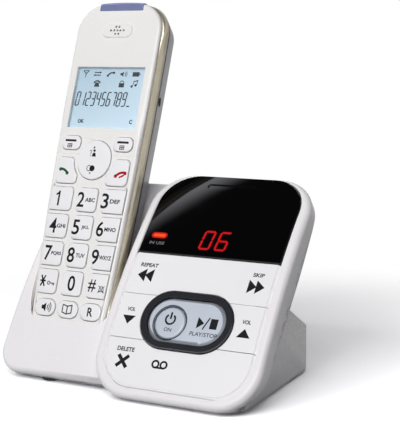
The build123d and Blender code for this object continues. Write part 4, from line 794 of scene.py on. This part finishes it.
DIGIT_NODES = (*(f"key_{n}" for n in range(1, 10)), "key_star", "key_0", "key_hash")
CALL_NODES = ("left_softkey", "right_softkey", "navigation_rocker", "talk_key", "end_key",
              "loudspeaker_key", "phonebook_key", "recall_key")


class HandsetKeys(bpy.types.Operator):
    """White key caps of the handset"""
    bl_idname = "answering.handset_keys"
    bl_label = "Handset keys"

    def execute(self, context):
        for node in DIGIT_NODES + CALL_NODES:
            smooth_copy(node, "white_key", ROUND_EDGE)
        return {"FINISHED"}


class KeypadPrint(bpy.types.Operator):
    """Digits and letters of the keypad"""
    bl_idname = "answering.keypad_print"
    bl_label = "Keypad print"

    def execute(self, context):
        sizes = context.scene.machine_print
        letters = (("", 0.0), ("ABC", 5.2), ("DEF", 5.3), ("GHI", 4.6), ("JKL", 4.1), ("MNO", 6.0),
                   ("PQRS", 5.4), ("TUV", 4.7), ("WXYZ", 6.3))
        place = on_face(KEY_PROUD)
        digit = (sizes.digit_width, sizes.digit_height, DIGIT_WEIGHT)
        for i, node in enumerate(DIGIT_NODES):
            x, z = DIGIT_COLUMNS[i % 3], KEY_ROWS[i // 3]
            if node == "key_star":
                sign = [bar(x - 1.4 * c, z - 2.5 * s, x + 1.4 * c, z + 2.5 * s, 0.75, False)
                        for c, s in ((0.75, 1), (-0.75, 1))]
                sign.append(bar(x - 1.5, z, x + 1.5, z, 0.75, False))
                shape = join(sign)
            elif node == "key_hash":
                shape = glyphs("#", 10.9, z, 4.0, 5.6, 0.01)
            elif node == "key_0":
                shape = glyphs("0", -0.1, z, *digit)
            elif node == "key_1":
                shape = prism([(x - 0.05, z - 3.5), (x + 0.85, z - 3.5), (x + 0.85, z + 3.5),
                               (x + 0.15, z + 3.5), (x - 0.35, z + 2.6), (x - 1.3, z + 2.1),
                               (x - 1.3, z + 1.3), (x - 0.05, z + 1.7)])
            else:
                shape = glyphs(node[-1], x, z, *digit)
            write_piece(node + "_figure", shape, place, "ink_black", node)
            if 0 < i < 9:
                word, width = letters[i]
                word = glyphs(word, LETTER_COLUMNS[i % 3], z, width, sizes.letter_height)
                write_piece(node + "_letters", word, place, "ink_dark_grey", node)
        z = KEY_ROWS[3]
        key_sign = join([
            ring_mark(-12.3, z - 0.8, 0.7, 0.4), bar(-11.6, z - 0.8, -9.4, z - 0.8, 0.4),
            bar(-10.3, z - 0.8, -10.3, z - 1.6, 0.4), bar(-9.5, z - 0.8, -9.5, z - 1.6, 0.4)])
        write_piece("key_lock_sign", key_sign, place, "ink_dark_grey", "key_star")
        bell = join([
            arc_band(16.0, z - 1.0, 1.0, 0.35, 20, 160), bar(15.0, z - 0.8, 14.8, z - 2.2, 0.35),
            bar(17.0, z - 0.8, 17.2, z - 2.2, 0.35), bar(14.6, z - 2.3, 17.4, z - 2.3, 0.35),
            bar(14.6, z + 0.2, 17.5, z - 2.9, 0.3), bar(17.4, z + 0.2, 14.5, z - 2.9, 0.3)])
        write_piece("bell_off_sign", bell, place, "ink_dark_grey", "key_hash")
        return {"FINISHED"}


class CallPrint(bpy.types.Operator):
    """Signs on the call keys, the navigation key and the lower keys"""
    bl_idname = "answering.call_print"
    bl_label = "Call key print"

    def execute(self, context):
        place = on_face(KEY_PROUD)
        row = LOWER_ROW
        book = [bar(0, row - 2.1, 0, row + 1.5, 0.5)]
        for side in (-1, 1):
            book += [bar(0, row + 1.5, side * 2.4, row + 2.1, 0.5),
                     bar(side * 2.4, row + 2.1, side * 2.4, row - 1.4, 0.5),
                     bar(side * 2.4, row - 1.4, 0, row - 2.1, 0.5)]
        speaker = [prism([(-13.7, row - 0.9), (-12.7, row - 0.9), (-11.5, row - 2.1),
                          (-11.5, row + 2.1), (-12.7, row + 0.9), (-13.7, row + 0.9)])]
        speaker += [arc_band(-11.9, row, 1.3 + 0.95 * i, 0.4, -42, 42) for i in range(3)]
        menu = [bar(-17.3, -6.6, -11.3, -6.6, 1.0, False)]
        menu += [bar(-15.7, z, -13.2, z, 0.35, False) for z in (-8.2, -9.0, -9.8)]
        menu += [bar(x, -8.1, x, -9.9, 0.35, False) for x in (-15.5, -14.4, -13.4)]
        names = [(points + [28.3, 0, 0], faces) for points, faces in menu]
        person = [
            disc(-0.4, -11.0, 0.62), prism([(-1.5, -13.8), (0.8, -13.8), (0.3, -12.0), (-0.9, -12.0)]),
            prism([(-1.3, -9.9), (-0.1, -9.9), (-0.7, -8.8)]),
            arc_band(-2.3, -11.5, 0.5, 0.3, -60, 180), bar(-2.2, -12.0, -2.2, -12.7, 0.3),
            disc(-2.2, -13.5, 0.22)]
        redial = [ring_mark(-1.7, -19.4, 1.25, 0.32), disc(-0.1, -19.4, 1.4),
                  prism([(-1.5, -21.4), (-0.3, -21.4), (-0.9, -22.3)])]
        talk = [arc_band(-16.9, -24.9, 4.6, 1.15, 38, 92), disc(-17.1, -20.5, 0.85),
                disc(-13.2, -22.2, 0.85)]
        end = [arc_band(17.2, -26.0, 5.4, 1.15, 82, 138), disc(17.9, -20.9, 0.85),
               disc(13.1, -22.4, 0.85), bar(15.3, -22.9, 17.3, -21.9, 0.8)]
        prints = {
            "menu_sign": (menu, "ink_dark_grey", "left_softkey"),
            "names_sign": (names, "ink_dark_grey", "right_softkey"),
            "person_sign": (person, "ink_black", "navigation_rocker"),
            "redial_sign": (redial, "ink_black", "navigation_rocker"),
            "talk_sign": (talk, "ink_green", "talk_key"), "end_sign": (end, "ink_red", "end_key"),
            "loudspeaker_sign": (speaker, "ink_black", "loudspeaker_key"),
            "book_sign": (book, "ink_black", "phonebook_key"),
            "recall_sign": ([glyphs("R", 12.3, row, 2.8, 4.0, 0.02)], "ink_black", "recall_key"),
        }
        for name, (shapes, ink, body) in prints.items():
            write_piece(name, join(shapes), place, ink, body)
        return {"FINISHED"}


class HandsetDisplay(bpy.types.Operator):
    """Backlit display with its figures and status signs, under the clear lens"""
    bl_idname = "answering.handset_display"
    bl_label = "Handset display"

    def execute(self, context):
        refinish("lcd_panel", "lcd_blue")
        refinish("display_lens", "lens_clear")
        place = on_face(-LCD_DEPTH)
        shapes = [figures(context.scene.machine_print.dialled, *DIALLED, DIALLED_STROKE)]
        z, low_z = STATUS_ROWS
        shapes += [
            bar(-14.5, z - 1.6, -14.5, z + 0.6, 0.35), bar(-14.5, z, -16.0, z + 1.5, 0.35),
            bar(-14.5, z, -13.0, z + 1.5, 0.35), bar(-16.0, z + 1.5, -13.0, z + 1.5, 0.35),
            bar(-9.6, z + 0.7, -6.3, z + 0.7, 0.5), bar(-9.8, z - 0.6, -6.5, z - 0.6, 0.5),
            prism([(-6.9, z + 0.2), (-5.8, z + 0.7), (-6.9, z + 1.4)]),
            prism([(-9.2, z - 1.2), (-10.3, z - 0.6), (-9.2, z - 0.1)]),
            arc_band(0.2, z - 2.0, 2.7, 0.75, 80, 150), disc(0.9, z + 0.6, 0.6),
            disc(-2.3, z - 0.8, 0.6),
            prism([(4.4, z - 0.5), (5.2, z - 0.5), (6.2, z - 1.3), (6.2, z + 1.3),
                   (5.2, z + 0.5), (4.4, z + 0.5)]),
            arc_band(5.9, z, 1.3, 0.35, -40, 40), arc_band(5.9, z, 2.1, 0.35, -40, 40),
            plate(11.1, z - 1.1, 14.6, z + 1.1), plate(14.7, z - 0.5, 15.2, z + 0.5)]
        z = low_z
        shapes += [
            prism([(-9.0, z - 1.6), (-6.0, z - 1.6), (-6.6, z + 0.5), (-8.4, z + 0.5)]),
            arc_band(-7.5, z - 0.6, 1.9, 0.7, 25, 155), plate(4.6, z - 1.7, 7.4, z + 0.4),
            arc_band(6.0, z + 0.5, 0.95, 0.4, 0, 180), disc(11.6, z - 1.2, 0.6),
            disc(13.6, z - 0.6, 0.6), bar(12.1, z - 1.1, 12.5, z + 1.2, 0.35),
            bar(14.1, z - 0.5, 14.5, z + 1.7, 0.35), bar(12.5, z + 1.2, 14.5, z + 1.7, 0.5),
            glyphs("OK", -12.7, 3.6, 3.4, 1.9, 0.05), glyphs("C", 14.4, 3.9, 1.6, 2.0, 0.05)]
        write_piece("display_figures", join(shapes), place, "lcd_segment", "handset")
        return {"FINISHED"}


class InnerParts(bpy.types.Operator):
    """Finishes of boards, mats, speakers, sockets, cells, contacts and screws"""
    bl_idname = "answering.inner_parts"
    bl_label = "Inner parts"

    def execute(self, context):
        done = {o["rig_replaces"][0] for o in context.scene.objects if "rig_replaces" in o}
        for node in frame["nodes"]:
            if node not in done and node not in ("lcd_panel", "display_lens"):
                refinish(node, SLOT_OF[node])
        return {"FINISHED"}


def floor_material(look):
    """Matt pale paper. Near the object the camera and reflections see it lit as any surface but
    twice as bright, so that it is white with the object's shadow on it; further out it turns to
    plain white. Light that bounces off it onto the object is held back, as off a darker table."""
    material, tree = new_tree("paper_white_seamless")
    place = add(tree, "TexCoord").outputs["Object"]
    grain = add(tree, "TexNoise", {"Vector": place, "Scale": 1000 / 2.0, "Detail": 3.0})
    tone = add(tree, "Mix", {0: grain, 6: "#F8F8FA", 7: "#F4F4F7"}, data_type="RGBA")
    bump = add(tree, "Bump", {"Height": grain, "Strength": 0.2, "Distance": 2e-5})
    paper = add(tree, "BsdfDiffuse", {"Color": tone, "Normal": bump})
    path = add(tree, "LightPath").outputs
    direct = add(tree, "Math", {0: path["Is Camera Ray"], 1: path["Is Glossy Ray"]},
                 operation="MAXIMUM")
    seen = add(tree, "Math", {0: direct, 1: path["Is Transmission Ray"]}, operation="MAXIMUM")
    lift = add(tree, "Emission", {"Color": "#FFFFFF", "Strength": look.floor_lift})
    bright = add(tree, "AddShader", {0: paper, 1: paper})
    lifted = add(tree, "AddShader", {0: bright, 1: lift})
    white = add(tree, "Emission", {"Color": "#FFFFFF", "Strength": 1.0})
    away = add(tree, "VectorMath", {0: place, 1: (0.01, 0.02, 0.0)}, operation="DISTANCE")
    spread = add(tree, "MapRange", {0: away, 1: 0.13, 2: 0.29, 3: 0.0, 4: 1.0}, **SMOOTHLY)
    far = add(tree, "MixShader", {0: spread, 1: lifted, 2: white})
    bounce = add(tree, "BsdfDiffuse", {"Color": "#8A8A8C"})
    surface = add(tree, "MixShader", {0: seen, 1: bounce, 2: far})
    add(tree, "OutputMaterial", {"Surface": surface})
    return material


def card_material(look):
    """Softbox cloth that only reflections see: dark at the card's near edge and rising to its
    full glow over the first part of the way across, by the sheet's own v."""
    material, tree = new_tree("softbox_cloth")
    sheet = add(tree, "UVMap", uv_map="UVMap")
    across = add(tree, "SeparateXYZ", {0: sheet}).outputs[1]
    weave = add(tree, "TexNoise", {"Vector": sheet, "Scale": 6.0, "Detail": 1.0})
    drift = add(tree, "Math", {0: weave, 1: 0.04, 2: -0.02}, operation="MULTIPLY_ADD")
    along = add(tree, "Math", {0: across, 1: drift}, operation="ADD")
    rise = add(tree, "MapRange", {0: along, 1: 0.0, 2: 0.15, 3: 0.0, 4: look.card_glow}, **SMOOTHLY)
    glow = add(tree, "Emission", {"Color": "#F2F3F8", "Strength": rise})
    add(tree, "OutputMaterial", {"Surface": glow})
    return material


def stage_sheet(name, corners, rows, columns, material):
    """Flat sheet between four corners: each point is the corners mixed by s and t."""
    s, t = np.meshgrid(np.linspace(0, 1, columns), np.linspace(0, 1, rows))
    a, b, c, d = (np.array(corner)[None, None] for corner in corners)
    s, t = s[..., None], t[..., None]
    points = (a * (1 - s) + b * s) * (1 - t) + (d * (1 - s) + c * s) * t
    index = np.arange(rows * columns).reshape(rows, columns)
    faces = np.stack([index[:-1, :-1], index[:-1, 1:], index[1:, 1:], index[1:, :-1]], axis=-1)
    mesh = bpy.data.meshes.new(name)
    mesh.from_pydata(points.reshape(-1, 3).tolist(), [], faces.reshape(-1, 4).tolist())
    layer = mesh.uv_layers.new(name="UVMap")
    flat = np.stack([s[..., 0].ravel(), t[..., 0].ravel()], axis=1)
    layer.data.foreach_set("uv", flat[read(mesh.loops, "vertex_index", kind=int)].ravel())
    mesh.materials.append(material)
    sheet = new_object(name, mesh)
    return sheet


def lamp(name, place, aim_height, size, power):
    """Square soft lamp that looks at a point above the middle of the floor."""
    data = bpy.data.lights.new(name, "AREA")
    data.shape = "SQUARE"
    data.size = size
    data.energy = power
    holder = new_object(name, data)
    holder.location = place
    way = Vector((0, 0, aim_height)) - Vector(place)
    holder.rotation_euler = way.to_track_quat("-Z", "Y").to_euler()
    return holder


def studio_world(strength, wall):
    """Light from all round, with a pale wall behind the object that lights its back, by how far
    back and how level a direction points. The camera sees plain white; reflections see a bright
    band low down that fades to a dark ceiling, by the height of the direction they leave in."""
    world = bpy.data.worlds.new("studio_world")
    bpy.context.scene.world = world
    world.use_nodes = True
    tree = world.node_tree
    tree.nodes.clear()
    direction = add(tree, "TexCoord").outputs["Generated"]
    _, back, height = add(tree, "SeparateXYZ", {0: direction}).outputs
    behind = add(tree, "MapRange", {0: back, 1: 0.65, 2: 0.95, 3: 0.0, 4: wall}, **SMOOTHLY)
    level = add(tree, "MapRange", {0: height, 1: 0.3, 2: 0.7, 3: 1.0, 4: 0.0}, **SMOOTHLY)
    from_wall = add(tree, "Math", {0: behind, 1: level}, operation="MULTIPLY")
    total = add(tree, "Math", {0: from_wall, 1: strength}, operation="ADD")
    band = add(tree, "MapRange", {0: height, 1: 0.35, 2: 0.75, 3: 0.85, 4: 0.015}, **SMOOTHLY)
    path = add(tree, "LightPath").outputs
    mirror = add(tree, "Math", {0: path["Is Glossy Ray"], 1: path["Is Transmission Ray"]},
                 operation="MAXIMUM")
    soft = add(tree, "Background", {"Color": "#F6F6F6", "Strength": total})
    glossy = add(tree, "Background", {"Color": "#FFFFFF", "Strength": band})
    white = add(tree, "Background", {"Color": "#FFFFFF", "Strength": 1.0})
    mirrored = add(tree, "MixShader", {0: mirror, 1: soft, 2: glossy})
    shown = add(tree, "MixShader", {0: path["Is Camera Ray"], 1: mirrored, 2: white})
    add(tree, "OutputWorld", {"Surface": shown})


class Studio(bpy.types.Operator):
    """Pale floor, soft lamps, world and camera"""
    bl_idname = "answering.studio"
    bl_label = "Studio"

    def execute(self, context):
        look = context.scene.studio_look
        r = FLOOR_REACH
        stage_sheet("floor", [(-r, -r, 0), (r, -r, 0), (r, r, 0), (-r, r, 0)], 9, 9,
                    floor_material(look))
        lamps = {name: lamp(name, place, aim_height, size, getattr(look, power))
                 for name, (place, aim_height, size, power) in LAMPS.items()}
        lamps["overhead_lamp"].visible_glossy = False
        # the card's near edge mirrors as a line from the window's foot to its upper edge
        away = np.array([-CARD_ALONG[1], CARD_ALONG[0], 0.0]) * CARD_WIDTH
        start, end = (CARD_CORNER + reach * CARD_ALONG for reach in CARD_ENDS)
        card = stage_sheet("reflector", [start, end, end + away, start + away], 5, 5,
                           card_material(look))
        card.visible_diffuse = False
        studio_world(look.ambient, look.wall)
        context.scene.view_settings.view_transform = "Standard"
        data = bpy.data.cameras.new("camera")
        data.lens = look.lens
        data.sensor_width = 36.0
        data.clip_start, data.clip_end = 0.05, 20.0
        camera = new_object("camera", data)
        camera.location = CAMERA_AT
        turn = Euler((math.radians(90 - CAMERA_TILT), 0, math.radians(CAMERA_TURN))).to_matrix()
        roll = Euler((0, 0, math.radians(-CAMERA_ROLL))).to_matrix()
        camera.rotation_euler = (turn @ roll).to_euler()
        context.scene.camera = camera
        return {"FINISHED"}


STEPS = (BaseShells, BaseKeys, OvalControl, DisplayWindow, PanelPrint, HandsetShells, HandsetKeys,
         KeypadPrint, CallPrint, HandsetDisplay, InnerParts, Studio)


class MachinePanel(bpy.types.Panel):
    """Lists the steps in the order in which they are built."""
    bl_idname = "VIEW3D_PT_answering_machine"
    bl_label = "Answering machine"
    bl_space_type = "VIEW_3D"
    bl_region_type = "UI"
    bl_category = "Answering machine"

    def draw(self, context):
        for group in SETTINGS:
            settings = getattr(context.scene, group)
            for name in settings.bl_rna.properties.keys():
                if name not in ("rna_type", "name"):
                    self.layout.prop(settings, name)
        for step in STEPS:
            self.layout.operator(step.bl_idname)


CLASSES = (*SETTINGS.values(), *STEPS, MachinePanel)


def register():
    for item in CLASSES:
        bpy.utils.register_class(item)
    for name, group in SETTINGS.items():
        setattr(bpy.types.Scene, name, bpy.props.PointerProperty(type=group))


def unregister():
    for name in SETTINGS:
        delattr(bpy.types.Scene, name)
    for item in reversed(CLASSES):
        bpy.utils.unregister_class(item)


def main():
    """Builds everything in order."""
    register()
    make_finishes(bpy.context.scene.machine_look)
    for step in STEPS:
        group, name = step.bl_idname.split(".")
        getattr(getattr(bpy.ops, group), name)()


if __name__ == "__main__":
    main()
